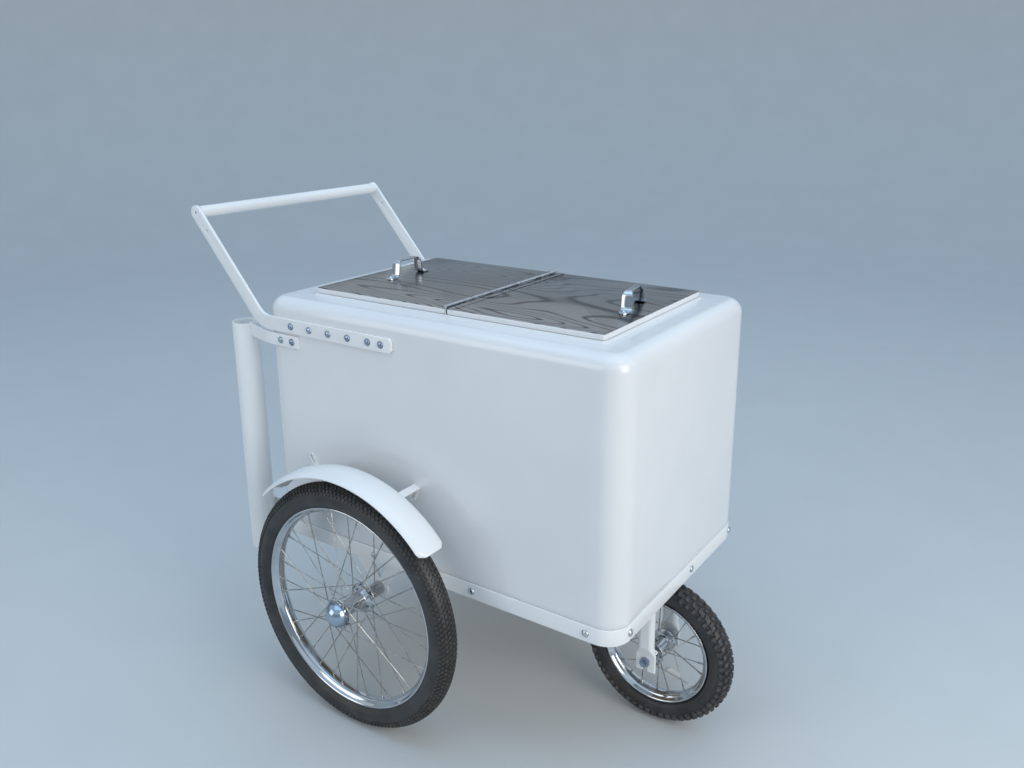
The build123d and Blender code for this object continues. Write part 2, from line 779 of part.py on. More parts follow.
for side_name, side in SIDES:
    centre = (rear_x, side * rear_half_track, rear_tyre_r)
    rim = make_rim(centre, side, rear_rim_r, rear_rim_half)
    save(rim, f"{side_name}_rim")
    tyre = make_tyre(centre, side, rear_tyre_r, rear_tyre_section, rear_rim_r, rear_rim_half)
    save(tyre, f"{side_name}_tyre")
    spokes = make_spokes(centre, side, rear_spokes, rear_flange_r, rear_flange_y,
                         rear_rim_r - rim_well_drop, rear_cross_angle)
    save(spokes, f"{side_name}_spokes")

    with BuildPart() as hub:
        with BuildSketch(section_plane(centre, side)):
            with Locations((hub_barrel_r / 2, 0)):
                Rectangle(hub_barrel_r, 2 * rear_flange_y)
            for face in (-1, 1):
                with Locations((rear_flange_r / 2, face * rear_flange_y)):
                    Rectangle(rear_flange_r, hub_flange_thickness)
                housing_start = rear_hub_half - bearing_width - housing_margin
                with Locations((housing_r / 2, face * (rear_hub_half + housing_start) / 2)):
                    Rectangle(housing_r, rear_hub_half - housing_start)
                with Locations((0, face * (rear_hub_half - bearing_width / 2))):
                    Rectangle(2 * (bearing_r + bearing_seat), bearing_width, mode=Mode.SUBTRACT)
            Rectangle(2 * (rear_axle_r + hub_bore_gap), 4 * rear_hub_half, mode=Mode.SUBTRACT)
        revolve(axis=wheel_axis(centre, side))
    save(hub.part, f"{side_name}_hub")

    with BuildPart() as bearings:
        with BuildSketch(section_plane(centre, side)):
            for face in (-1, 1):
                ring_inner = rear_axle_r + running_gap
                with Locations(((bearing_r + ring_inner) / 2, face * (rear_hub_half - bearing_width / 2))):
                    Rectangle(bearing_r - ring_inner, bearing_width)
        revolve(axis=wheel_axis(centre, side))
    save(bearings.part, f"{side_name}_bearings")

    with BuildPart() as hub_cap:
        dome_r = (cap_r ** 2 + cap_depth ** 2) / (2 * cap_depth)
        with BuildSketch(section_plane(centre, side)):
            with Locations((0, rear_hub_half + cap_depth - dome_r)):
                Circle(dome_r)
                Circle(dome_r - cap_wall, mode=Mode.SUBTRACT)
            with Locations((dome_r, rear_hub_half + dome_r)):
                Rectangle(2 * dome_r, 2 * dome_r, mode=Mode.INTERSECT)
        revolve(axis=wheel_axis(centre, side))
    save(hub_cap.part, f"{side_name}_hub_cap")

    # Fender: a crowned sheet bent round the tyre.
    with BuildPart() as fender:
        top_r = rear_tyre_r + fender_gap
        chord = fender_width / 2
        crown_r = (chord ** 2 + fender_crown ** 2) / (2 * fender_crown)
        with BuildSketch(section_plane(centre, side)):
            with Locations((top_r - crown_r, 0)):
                Circle(crown_r)
                Circle(crown_r - fender_sheet, mode=Mode.SUBTRACT)
            with Locations((top_r, 0)):
                Rectangle(2 * (fender_crown + fender_sheet), fender_width, mode=Mode.INTERSECT)
        fender_axis = Axis(origin=centre, direction=(0, 1, 0))
        revolve(axis=fender_axis, revolution_arc=fender_rear_angle - fender_front_angle)
    save(fender.part.rotate(fender_axis, 90 - fender_rear_angle), f"{side_name}_fender")

    # Each fender hangs on two bent tabs: a slotted one standing up at the rear, one turned down in front.
    leg_top_r = top_r - fender_crown - fender_sheet - seat_gap
    leg_start = side_y + seat_gap - rear_half_track
    leg_end = -chord + tab_width
    tabs = []
    for tab_angle, turn_up in ((fender_tab_angle, 1), (fender_stay_angle, -1)):
        with BuildPart() as tab:
            with BuildSketch(section_plane(centre, side)):
                with Locations((leg_top_r - tab_thickness / 2, (leg_start + leg_end) / 2)):
                    Rectangle(tab_thickness, leg_end - leg_start)
                tab_middle = leg_top_r - tab_thickness / 2 + turn_up * (tab_height - tab_thickness) / 2
                with Locations((tab_middle, leg_start + tab_thickness / 2)):
                    Rectangle(tab_height, tab_thickness)
            extrude(amount=tab_width / 2, both=True)
            ends = tab.edges().filter_by(Axis.Y).filter_by(lambda edge: edge.length < tab_thickness + 1)
            fillet(ends.sort_by(Axis.Z)[-2:] if turn_up > 0 else ends.sort_by(Axis.Z)[:2], tab_width / 2 - 1)
            slot_plane = Plane(origin=(rear_x, side * side_y, rear_tyre_r),
                               x_dir=(0, 0, 1), z_dir=(0, side, 0))
            with BuildSketch(slot_plane):
                with Locations((tab_middle + turn_up * tab_slot_shift, 0)):
                    SlotOverall(tab_slot_length, 2 * tab_slot_r)
            extrude(amount=2 * tab_thickness, mode=Mode.SUBTRACT)
        tabs.append(tab.part.rotate(fender_axis, 90 - tab_angle))
    save(tabs[0] + tabs[1], f"{side_name}_fender_tabs")

# ---- Front wheel ----------------------------------------------------------------------------------

front_side = -1
front_centre = (front_x, 0, front_tyre_r)
save(make_rim(front_centre, front_side, front_rim_r, front_rim_half), "front_rim")
front_tyre = make_tyre(front_centre, front_side, front_tyre_r, front_tyre_section,
                       front_rim_r, front_rim_half)
save(front_tyre, "front_tyre")
front_spoke_set = make_spokes(front_centre, front_side, front_spokes, front_flange_r, front_flange_y,
                              front_rim_r - rim_well_drop, front_cross_angle)
save(front_spoke_set, "front_spokes")

with BuildPart() as front_hub:
    with BuildSketch(section_plane(front_centre, front_side)):
        with Locations((front_barrel_r / 2, 0)):
            Rectangle(front_barrel_r, 2 * front_hub_half)
        for face in (-1, 1):
            with Locations((front_flange_r / 2, face * front_flange_y)):
                Rectangle(front_flange_r, hub_flange_thickness)
        Rectangle(2 * (front_axle_r + running_gap), 4 * front_hub_half, mode=Mode.SUBTRACT)
    revolve(axis=wheel_axis(front_centre, front_side))
save(front_hub.part, "front_hub")

# Spoke reflector: a flat oval lens clipped to the inner side of one spoke, at its middle.
start, end = spoke_line(wheel_plane(front_centre, front_side), front_spokes, front_flange_r, front_flange_y,
                        front_rim_r - rim_well_drop, front_cross_angle, 1, 1, lens_spoke)
along = (end - start).normalized()
outward = (Vector(0, front_side, 0) - along * (front_side * along.Y)).normalized()
lens_middle = (start + end) / 2 - outward * (spoke_r + lens_thickness / 2)
lens_plane = Plane(origin=lens_middle, x_dir=along, z_dir=outward)
with BuildPart() as spoke_reflector:
    with BuildSketch(lens_plane):
        SlotOverall(lens_length, lens_width)
    extrude(amount=lens_thickness / 2, both=True)
save(spoke_reflector.part, "spoke_reflector")

# ---- Fork -----------------------------------------------------------------------------------------

leg_top_z = front_tyre_r + leg_taper_high
foot_top_z = front_tyre_r + leg_taper_low
foot_bottom_z = front_tyre_r - foot_drop
kingpin_top_z = rail_top_z + nut_height + axle_tail
crown_rear_x = swivel_x - thrust_r
crown_front_x = front_x + leg_width / 2

with BuildPart() as front_fork:
    with BuildSketch(Plane.XY.offset(crown_z)):
        with Locations(((crown_rear_x + crown_front_x) / 2, 0)):
            RectangleRounded(crown_front_x - crown_rear_x, 2 * leg_y + leg_depth, crown_corner_r)
    extrude(amount=crown_thickness)
    for lean in (-1, 1):
        with BuildSketch(Plane.XY.offset(leg_top_z)):
            with Locations((front_x, lean * leg_y)):
                RectangleRounded(leg_width, leg_depth, leg_depth / 2 - 1)
        extrude(amount=crown_z - leg_top_z)
        with BuildSketch(Plane.XY.offset(leg_top_z)):
            with Locations((front_x, lean * leg_y)):
                RectangleRounded(leg_width, leg_depth, leg_depth / 2 - 1)
        with BuildSketch(Plane.XY.offset(foot_top_z)):
            with Locations((front_x, lean * leg_y)):
                RectangleRounded(foot_width, foot_depth, foot_depth / 2 - 1)
        loft()
        with BuildSketch(Plane.XY.offset(foot_bottom_z)):
            with Locations((front_x, lean * leg_y)):
                RectangleRounded(foot_width, foot_depth, foot_depth / 2 - 1)
        extrude(amount=foot_top_z - foot_bottom_z)
    with BuildSketch(Plane(origin=(front_x, 0, front_tyre_r), x_dir=(1, 0, 0), z_dir=(0, -1, 0))):
        Circle(front_axle_r + running_gap)
        with Locations((0, -(foot_drop + slot_overrun) / 2)):
            Rectangle(2 * (front_axle_r + running_gap), foot_drop + slot_overrun)
    extrude(amount=leg_y + leg_depth, both=True, mode=Mode.SUBTRACT)
    with BuildSketch(Plane.XY.offset(crown_top_z)):
        with Locations((swivel_x, 0)):
            Circle(kingpin_r)
    extrude(amount=kingpin_top_z - crown_top_z)
save(front_fork.part, "front_fork")

with BuildPart() as kingpin_nut:
    with BuildSketch(Plane.XY.offset(plate_top_z + seat_gap)):
        with Locations((swivel_x, 0)):
            RegularPolygon(kingpin_r + kingpin_nut_margin, 6)
            Circle(kingpin_r, mode=Mode.SUBTRACT)
    extrude(amount=nut_height)
save(kingpin_nut.part, "kingpin_nut")

with BuildPart() as thrust_bearing:
    with BuildSketch(Plane.XY.offset(crown_top_z + seat_gap)):
        with Locations((swivel_x, 0)):
            Circle(thrust_r)
            Circle(kingpin_r + seat_gap, mode=Mode.SUBTRACT)
    extrude(amount=head_plate_z - crown_top_z - seat_gap)
save(thrust_bearing.part, "thrust_bearing")

axle_nut_face = leg_y + foot_depth / 2
with BuildPart() as front_axle:
    with BuildSketch(Plane(origin=front_centre, x_dir=(1, 0, 0), z_dir=(0, -1, 0))):
        Circle(front_axle_r)
    extrude(amount=axle_nut_face + nut_height + front_axle_tail, both=True)
save(front_axle.part, "front_axle")

with BuildPart() as front_axle_nuts:
    for lean in (-1, 1):
        with BuildSketch(Plane(origin=(front_x, lean * axle_nut_face, front_tyre_r), z_dir=(0, lean, 0))):
            RegularPolygon(front_axle_r + nut_margin, 6)
            Circle(front_axle_r, mode=Mode.SUBTRACT)
        extrude(amount=nut_height)
save(front_axle_nuts.part, "front_axle_nuts")
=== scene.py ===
import bmesh
import bpy
from math import acos, asin, cos, exp, pi, radians, sin, sqrt, tan
from mathutils import Matrix, Quaternion, Vector


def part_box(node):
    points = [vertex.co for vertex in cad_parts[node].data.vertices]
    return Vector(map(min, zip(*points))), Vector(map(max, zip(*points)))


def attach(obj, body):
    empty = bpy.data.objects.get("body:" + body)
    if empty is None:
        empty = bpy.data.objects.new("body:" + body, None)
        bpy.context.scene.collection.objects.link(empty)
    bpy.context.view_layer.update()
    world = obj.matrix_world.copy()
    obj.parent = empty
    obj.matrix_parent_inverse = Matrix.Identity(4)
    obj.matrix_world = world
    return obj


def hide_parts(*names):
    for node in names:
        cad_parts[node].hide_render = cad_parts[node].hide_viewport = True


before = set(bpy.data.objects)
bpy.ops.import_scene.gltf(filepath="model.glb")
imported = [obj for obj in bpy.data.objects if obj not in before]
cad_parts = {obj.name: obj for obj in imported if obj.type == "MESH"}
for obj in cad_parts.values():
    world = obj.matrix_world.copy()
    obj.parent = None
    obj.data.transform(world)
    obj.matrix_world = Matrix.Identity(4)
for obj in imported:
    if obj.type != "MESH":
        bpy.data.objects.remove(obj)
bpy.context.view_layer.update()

mm = 0.001  # sizes below are in millimetres, meshes are in metres
sides = (("right", -1), ("left", 1))


def nodeBox(node):
    low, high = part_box(node)
    return Vector(low) / mm, Vector(high) / mm


def nodeMiddle(node):
    low, high = nodeBox(node)
    return (low + high) / 2


camera = dict(azimuth=34.4, elevation=16.04, roll=-0.344, lens=32.035, shiftY=-0.038,
              place=(1.0848, -1.4945, 1.2609))


def makeCamera():
    turn, rise = radians(camera["azimuth"]), radians(camera["elevation"])
    back = Vector((sin(turn) * cos(rise), -cos(turn) * cos(rise), sin(rise)))
    data = bpy.data.cameras.new("cartCamera")
    data.lens = camera["lens"]
    data.shift_y = camera["shiftY"]
    data.clip_start, data.clip_end = 0.01, 50
    eye = bpy.data.objects.new("cartCamera", data)
    eye.location = camera["place"]
    eye.rotation_mode = "QUATERNION"
    eye.rotation_quaternion = (-back).to_track_quat("-Z", "Y") @ Quaternion((0, 0, 1),
                                                                            radians(camera["roll"]))
    bpy.context.scene.collection.objects.link(eye)
    bpy.context.scene.camera = eye


makeCamera()
print("camera ready")


# Shader groups give masks and values only, so each finish keeps its own colours.

def newGroup(name, inputs, outputs):
    group = bpy.data.node_groups.new(name, "ShaderNodeTree")
    for label, kind, value in inputs:
        socket = group.interface.new_socket(label, in_out="INPUT", socket_type=kind)
        socket.default_value = value
    for label, kind in outputs:
        group.interface.new_socket(label, in_out="OUTPUT", socket_type=kind)
    return group, group.nodes.new("NodeGroupInput"), group.nodes.new("NodeGroupOutput")


def addNode(tree, kind, links=None, **settings):
    node = tree.nodes.new(kind)
    for key, value in settings.items():
        setattr(node, key, value)
    for socket, source in (links or {}).items():
        if hasattr(source, "is_output"):
            tree.links.new(source, node.inputs[socket])
        else:
            node.inputs[socket].default_value = source
    return node


def makeGrainGroup():
    group, start, end = newGroup(
        "surfaceGrain",
        (("Broad Scale", "NodeSocketFloat", 4.0), ("Fine Scale", "NodeSocketFloat", 120.0),
         ("Stretch", "NodeSocketVector", (1, 1, 1))),
        (("Broad", "NodeSocketFloat"), ("Fine", "NodeSocketFloat")))
    coords = addNode(group, "ShaderNodeTexCoord")
    stretched = addNode(group, "ShaderNodeVectorMath",
                        {0: coords.outputs["Object"], 1: start.outputs["Stretch"]},
                        operation="MULTIPLY")
    for label, detail in (("Broad", 3), ("Fine", 2)):
        noise = addNode(group, "ShaderNodeTexNoise",
                        {"Vector": stretched.outputs[0], "Scale": start.outputs[label + " Scale"],
                         "Detail": detail, "Roughness": 0.55})
        group.links.new(noise.outputs["Fac"], end.inputs[label])
    return group


# Its Mask draws the dark wavy lines that the mirror sheet uses as a painted reflection; Swell bends the
# sheet's normals.
def makeContourGroup():
    group, start, end = newGroup(
        "wavyContour",
        (("Scale", "NodeSocketFloat", 3.0), ("Lines", "NodeSocketFloat", 9.0),
         ("Width", "NodeSocketFloat", 0.1),
         ("Stretch", "NodeSocketVector", (1, 1, 1))),
        (("Mask", "NodeSocketFloat"), ("Swell", "NodeSocketFloat")))
    coords = addNode(group, "ShaderNodeTexCoord")
    stretched = addNode(group, "ShaderNodeVectorMath",
                        {0: coords.outputs["Object"], 1: start.outputs["Stretch"]},
                        operation="MULTIPLY")
    noise = addNode(group, "ShaderNodeTexNoise",
                    {"Vector": stretched.outputs[0], "Scale": start.outputs["Scale"], "Detail": 1.2,
                     "Roughness": 0.4, "Distortion": 0.5})
    banded = addNode(group, "ShaderNodeMath", {0: noise.outputs["Fac"], 1: start.outputs["Lines"]},
                     operation="MULTIPLY")
    part = addNode(group, "ShaderNodeMath", {0: banded.outputs[0]}, operation="FRACT")
    off = addNode(group, "ShaderNodeMath", {0: part.outputs[0], 1: 0.5}, operation="SUBTRACT")
    near = addNode(group, "ShaderNodeMath", {0: off.outputs[0]}, operation="ABSOLUTE")
    mask = addNode(group, "ShaderNodeMapRange",
                   {"Value": near.outputs[0], "From Min": 0.0, "From Max": start.outputs["Width"],
                    "To Min": 1.0, "To Max": 0.0}, interpolation_type="SMOOTHSTEP")
    group.links.new(mask.outputs[0], end.inputs["Mask"])
    group.links.new(noise.outputs["Fac"], end.inputs["Swell"])
    return group


def makeDustGroup():
    group, start, end = newGroup(
        "dustFilm",
        (("Scale", "NodeSocketFloat", 40.0), ("Amount", "NodeSocketFloat", 0.5)),
        (("Mask", "NodeSocketFloat"),))
    coords = addNode(group, "ShaderNodeTexCoord")
    noise = addNode(group, "ShaderNodeTexNoise", {"Vector": coords.outputs["Object"],
                    "Scale": start.outputs["Scale"], "Detail": 4, "Roughness": 0.6})
    spread = addNode(group, "ShaderNodeMapRange",
                     {"Value": noise.outputs["Fac"], "From Min": 0.4, "From Max": 0.68})
    mask = addNode(group, "ShaderNodeMath", {0: spread.outputs[0], 1: start.outputs["Amount"]},
                   operation="MULTIPLY")
    group.links.new(mask.outputs[0], end.inputs["Mask"])
    return group


grainGroup = makeGrainGroup()
contourGroup = makeContourGroup()
dustGroup = makeDustGroup()

# low and high are the two colours that the broad grain mixes

finishes = {
    "whiteGelcoat": dict(slot="white_gelcoat", low=(0.72, 0.73, 0.74), high=(0.78, 0.785, 0.79), broad=3.0,
                         fine=60,
                         rough=(0.16, 0.26), coat=0.35, bump=0.05, swell=0.35),
    "whiteEnamel": dict(slot="white_paint", low=(0.79, 0.80, 0.80), high=(0.84, 0.845, 0.845), broad=5.0,
                        fine=90,
                        rough=(0.20, 0.26), coat=0.25, bump=0.015),
    "whiteLiner": dict(slot="white_liner", low=(0.70, 0.72, 0.74), high=(0.77, 0.78, 0.79), broad=6.0,
                       fine=90,
                       rough=(0.28, 0.42), coat=0.1, bump=0.08),
    "cutFoam": dict(slot="foam", low=(0.62, 0.55, 0.36), high=(0.74, 0.67, 0.47), broad=12, fine=420,
                    rough=(0.75, 0.95), bump=0.5),
    "plywood": dict(slot="plywood", low=(0.34, 0.22, 0.12), high=(0.56, 0.40, 0.24), broad=7, fine=150,
                    rough=(0.55, 0.8), bump=0.25, stretch=(0.25, 3, 3)),
    "zincSteel": dict(slot="zinc_steel", low=(0.20, 0.25, 0.34), high=(0.44, 0.49, 0.58), broad=45, fine=500,
                      rough=(0.18, 0.36), metallic=1.0, bump=0.06),
    "hingeSteel": dict(slot="stainless", low=(0.50, 0.52, 0.54), high=(0.72, 0.74, 0.76), broad=25, fine=300,
                       rough=(0.16, 0.34), metallic=1.0, bump=0.05, stretch=(1, 4, 1)),
    "chromePlate": dict(slot="chrome", low=(0.50, 0.52, 0.55), high=(0.68, 0.70, 0.72), broad=18, fine=260,
                        rough=(0.05, 0.15), metallic=1.0, bump=0.03),
    # The hub cap finish's blue-grey colours are a painted reflection of blue sky, set in its base colour.
    "capSteelSkyReflection": dict(slot="chrome", low=(0.34, 0.43, 0.52), high=(0.46, 0.55, 0.63), broad=20, fine=260,
                     rough=(0.14, 0.24), metallic=1.0, bump=0.03),
    "spokeSteel": dict(slot="spoke_steel", low=(0.30, 0.29, 0.27), high=(0.56, 0.55, 0.53), broad=40,
                       fine=400,
                       rough=(0.2, 0.42), metallic=1.0, bump=0.04),
    "bearingSteel": dict(slot="bearing_steel", low=(0.40, 0.41, 0.42), high=(0.58, 0.59, 0.60), broad=50,
                         fine=400,
                         rough=(0.22, 0.4), metallic=1.0, bump=0.03),
    "smoothRubber": dict(slot="tyre_rubber", low=(0.018, 0.018, 0.019), high=(0.034, 0.034, 0.035), broad=14,
                         fine=420, rough=(0.34, 0.52), bump=0.12, dust=(0.20, 0.17, 0.13), dustAmount=0.12,
                         dustScale=26),
    "treadRubber": dict(slot="tyre_rubber", low=(0.022, 0.022, 0.023), high=(0.045, 0.044, 0.042), broad=22,
                        fine=420, rough=(0.5, 0.75), bump=0.2, dust=(0.17, 0.155, 0.135), dustAmount=0.25,
                        dustScale=60),
    "knobRubber": dict(slot="tyre_rubber", low=(0.022, 0.022, 0.024), high=(0.055, 0.053, 0.052), broad=30,
                       fine=420, rough=(0.5, 0.8), bump=0.25, dust=(0.17, 0.165, 0.16), dustAmount=0.35,
                       dustScale=75),
}


def newMaterial(name):
    material = bpy.data.materials.new(name)
    material.use_nodes = True
    return material, material.node_tree, material.node_tree.nodes["Principled BSDF"]


def mixColours(tree, share, low, high):
    mix = addNode(tree, "ShaderNodeMix", data_type="RGBA")
    tree.links.new(share, mix.inputs[0])
    for socket, colour in ((6, low), (7, high)):
        if isinstance(colour, tuple):
            mix.inputs[socket].default_value = (*colour, 1)
        else:
            tree.links.new(colour, mix.inputs[socket])
    return mix.outputs[2]


def mapRange(tree, value, given, wanted=(0, 1)):
    node = addNode(tree, "ShaderNodeMapRange", {"Value": value, "From Min": given[0], "From Max": given[1],
                                                "To Min": wanted[0], "To Max": wanted[1]})
    return node.outputs[0]


def addRelief(tree, strength, distance, height):
    return addNode(tree, "ShaderNodeBump", {"Strength": strength, "Distance": distance, "Height": height})


def addGrain(tree, look):
    return addNode(tree, "ShaderNodeGroup", {"Broad Scale": look["broad"], "Fine Scale": look["fine"],
                                             "Stretch": look.get("stretch", (1, 1, 1))}, node_tree=grainGroup)


def makeFinish(name, look):
    material, tree, shader = newMaterial(name)
    grain = addGrain(tree, look)
    spread = mapRange(tree, grain.outputs["Broad"], (0.3, 0.7))
    painted = mixColours(tree, spread, look["low"], look["high"])
    if "dust" in look:
        film = addNode(tree, "ShaderNodeGroup", {"Scale": look["dustScale"], "Amount": look["dustAmount"]},
                       node_tree=dustGroup)
        painted = mixColours(tree, film.outputs["Mask"], painted, look["dust"])
    tree.links.new(painted, shader.inputs["Base Color"])
    rough = mapRange(tree, grain.outputs["Fine"], (0.3, 0.7), look["rough"])
    tree.links.new(rough, shader.inputs["Roughness"])
    relief = addRelief(tree, look["bump"], 0.0006, grain.outputs["Fine"])
    if "swell" in look:
        broad = addRelief(tree, look["swell"], 0.004, grain.outputs["Broad"])
        tree.links.new(broad.outputs[0], relief.inputs["Normal"])
    tree.links.new(relief.outputs[0], shader.inputs["Normal"])
    shader.inputs["Metallic"].default_value = look.get("metallic", 0.0)
    shader.inputs["Coat Weight"].default_value = look.get("coat", 0.0)
    shader.inputs["Coat Roughness"].default_value = 0.06
    material["slotName"] = look["slot"]
    return material


finish = {name: makeFinish(name, look) for name, look in finishes.items()}

# The mirror sheet's dark grey base and its dark wavy lines are a painted reflection of dark surroundings, set
# in the base colour.
mirrorLook = dict(low=(0.27, 0.265, 0.27), high=(0.36, 0.355, 0.36), line=(0.03, 0.03, 0.034), scale=2.5,
                  lines=28, width=0.18, lineStretch=(0.65, 2.5, 1), rough=(0.16, 0.26), swell=0.05,
                  broad=3.5, fine=260, stretch=(0.5, 1.4, 1))


def makeMirrorSheet():
    material, tree, shader = newMaterial("mirrorSheet")
    contour = addNode(tree, "ShaderNodeGroup", {
        "Scale": mirrorLook["scale"], "Lines": mirrorLook["lines"], "Width": mirrorLook["width"],
        "Stretch": mirrorLook["lineStretch"]}, node_tree=contourGroup)
    grain = addGrain(tree, mirrorLook)
    spread = mapRange(tree, grain.outputs["Broad"], (0.35, 0.65))
    ground = mixColours(tree, spread, mirrorLook["low"], mirrorLook["high"])
    # Painted reflection: dark wavy lines laid over the dark grey base colour.
    paintedReflection = mixColours(tree, contour.outputs["Mask"], ground, mirrorLook["line"])
    tree.links.new(paintedReflection, shader.inputs["Base Color"])
    rough = mapRange(tree, grain.outputs["Fine"], (0, 1), mirrorLook["rough"])
    tree.links.new(rough, shader.inputs["Roughness"])
    swell = addRelief(tree, mirrorLook["swell"], 0.003, contour.outputs["Swell"])
    tree.links.new(swell.outputs[0], shader.inputs["Normal"])
    shader.inputs["Metallic"].default_value = 1.0
    material["slotName"] = "mirror_stainless"
    return material


lensLook = dict(dark=(0.82, 0.82, 0.80), bright=(0.92, 0.90, 0.86), cellScale=420, relief=0.7, clear=0.45,
                rough=0.12)


def makeClearLens():
    material, tree, shader = newMaterial("clearLens")
    coords = addNode(tree, "ShaderNodeTexCoord")
    cells = addNode(tree, "ShaderNodeTexVoronoi",
                    {"Vector": coords.outputs["Object"], "Scale": lensLook["cellScale"]})
    relief = addRelief(tree, lensLook["relief"], 0.001, cells.outputs["Distance"])
    tint = mixColours(tree, cells.outputs["Distance"], lensLook["dark"], lensLook["bright"])
    tree.links.new(tint, shader.inputs["Base Color"])
    tree.links.new(relief.outputs[0], shader.inputs["Normal"])
    shader.inputs["Transmission Weight"].default_value = lensLook["clear"]
    shader.inputs["Roughness"].default_value = lensLook["rough"]
    material["slotName"] = "clear_lens"
    return material


finish["mirrorSheet"] = makeMirrorSheet()
finish["clearLens"] = makeClearLens()
print("finishes ready")


# Mesh helpers take points in millimetres.

def tidyMesh(form, sharpAngle=38):
    bmesh.ops.remove_doubles(form, verts=form.verts, dist=1e-7)
    bmesh.ops.dissolve_degenerate(form, edges=form.edges, dist=1e-7)
    bmesh.ops.recalc_face_normals(form, faces=form.faces)
    for face in form.faces:
        face.smooth = True
    for edge in form.edges:
        edge.smooth = not (edge.is_manifold and edge.calc_face_angle() > radians(sharpAngle))


def meshOf(points, faces, sharpAngle=38):
    mesh = bpy.data.meshes.new("form")
    mesh.from_pydata([Vector(point) * mm for point in points], [], faces)
    form = bmesh.new()
    form.from_mesh(mesh)
    tidyMesh(form, sharpAngle)
    form.to_mesh(mesh)
    form.free()
    return mesh


def joinMeshes(meshes):
    form = bmesh.new()
    for mesh in meshes:
        form.from_mesh(mesh)
    joined = bpy.data.meshes.new("form")
    form.to_mesh(joined)
    form.free()
    return joined


def addPiece(name, mesh, material, body, replaced=()):
    mesh.name = name
    mesh.materials.clear()
    mesh.materials.append(finish[material])
    piece = bpy.data.objects.new(name, mesh)
    bpy.context.scene.collection.objects.link(piece)
    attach(piece, body)
    if replaced:
        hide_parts(*replaced)
    return piece


def softenLoop(points, radius, steps=3, closed=True):
    soft = []
    count = len(points)
    for k, point in enumerate(points):
        if not closed and k in (0, count - 1):
            soft.append(Vector(point))
            continue
        here = Vector(point)
        before, after = Vector(points[k - 1]) - here, Vector(points[(k + 1) % count]) - here
        cut = min(radius, before.length * 0.45, after.length * 0.45)
        first, last = here + before.normalized() * cut, here + after.normalized() * cut
        for step in range(steps + 1):
            t = step / steps
            soft.append(first * (1 - t) ** 2 + here * 2 * t * (1 - t) + last * t * t)
    return soft


def loftLoops(loops, closed=False, capped=False, sharpAngle=38):
    count = len(loops[0])
    points = [point for loop in loops for point in loop]
    faces = []
    rows = len(loops) if closed else len(loops) - 1
    for row in range(rows):
        here, there = row * count, (row + 1) % len(loops) * count
        for k in range(count):
            faces.append((here + k, here + (k + 1) % count, there + (k + 1) % count, there + k))
    if capped:
        faces += [tuple(range(count)), tuple(range(len(points) - count, len(points)))]
    return meshOf(points, faces, sharpAngle)


def spinProfile(profile, centre, axis="Y", side=1, steps=96, sharpAngle=38):
    centre = Vector(centre)
    loops = []
    for step in range(steps):
        turn = 2 * pi * step / steps
        loop = []
        for radius, height in profile:
            if axis == "Y":
                offset = (radius * cos(turn), side * height, radius * sin(turn))
            else:
                offset = (radius * cos(turn), radius * sin(turn), height)
            loop.append(centre + Vector(offset))
        loops.append(loop)
    return loftLoops(loops, closed=True, sharpAngle=sharpAngle)


def roundedRing(middle, halfX, halfY, radius, z, cornerSteps=8):
    radius = max(min(radius, halfX - 0.1, halfY - 0.1), 0.5)
    corners = ((1, 1, 0), (-1, 1, 90), (-1, -1, 180), (1, -1, 270))
    ring = []
    for number, (signX, signY, start) in enumerate(corners):
        at = Vector((middle[0] + signX * (halfX - radius), middle[1] + signY * (halfY - radius), z))
        for step in range(cornerSteps + 1):
            turn = radians(start + 90 * step / cornerSteps)
            ring.append(at + Vector((radius * cos(turn), radius * sin(turn), 0)))
        nextX, nextY, _ = corners[(number + 1) % 4]
        goal = Vector((middle[0] + nextX * (halfX - radius), middle[1] + nextY * (halfY - radius), z))
        turn = radians(start + 90)
        reach = Vector((radius * cos(turn), radius * sin(turn), 0))
        for share in (0.02, 0.25, 0.5, 0.75, 0.98):
            ring.append(at.lerp(goal, share) + reach)
    return ring


def sweepTube(path, radii, sides=8):
    path = [Vector(point) for point in path]
    radii = radii if isinstance(radii, (list, tuple)) else [radii] * len(path)
    heading = (path[1] - path[0]).normalized()
    across = heading.orthogonal().normalized()
    loops = []
    for k, point in enumerate(path):
        before = path[k] - path[max(k - 1, 0)]
        after = path[min(k + 1, len(path) - 1)] - path[k]
        newHeading = (before.normalized() + after.normalized()).normalized()
        across = heading.rotation_difference(newHeading) @ across
        heading = newHeading
        other = heading.cross(across)
        loops.append([point + (across * cos(2 * pi * s / sides) + other * sin(2 * pi * s / sides)) * radii[k]
                      for s in range(sides)])
    return loftLoops(loops, capped=True)


def sweepStrap(path, across, widths, thickness, edgeR):
    path = [Vector(point) for point in path]
    across = Vector(across)
    loops = []
    for k, point in enumerate(path):
        heading = (path[min(k + 1, len(path) - 1)] - path[max(k - 1, 0)]).normalized()
        normal = across.cross(heading).normalized()
        half, thick = widths[k] / 2, thickness / 2
        corners = ((half, thick, 0), (-half, thick, 0), (-half, -thick, 0), (half, -thick, 0))
        loops.append([point + across * u + normal * v for u, v, _ in softenLoop(corners, edgeR, 2)])
    return loftLoops(loops, capped=True, sharpAngle=50)


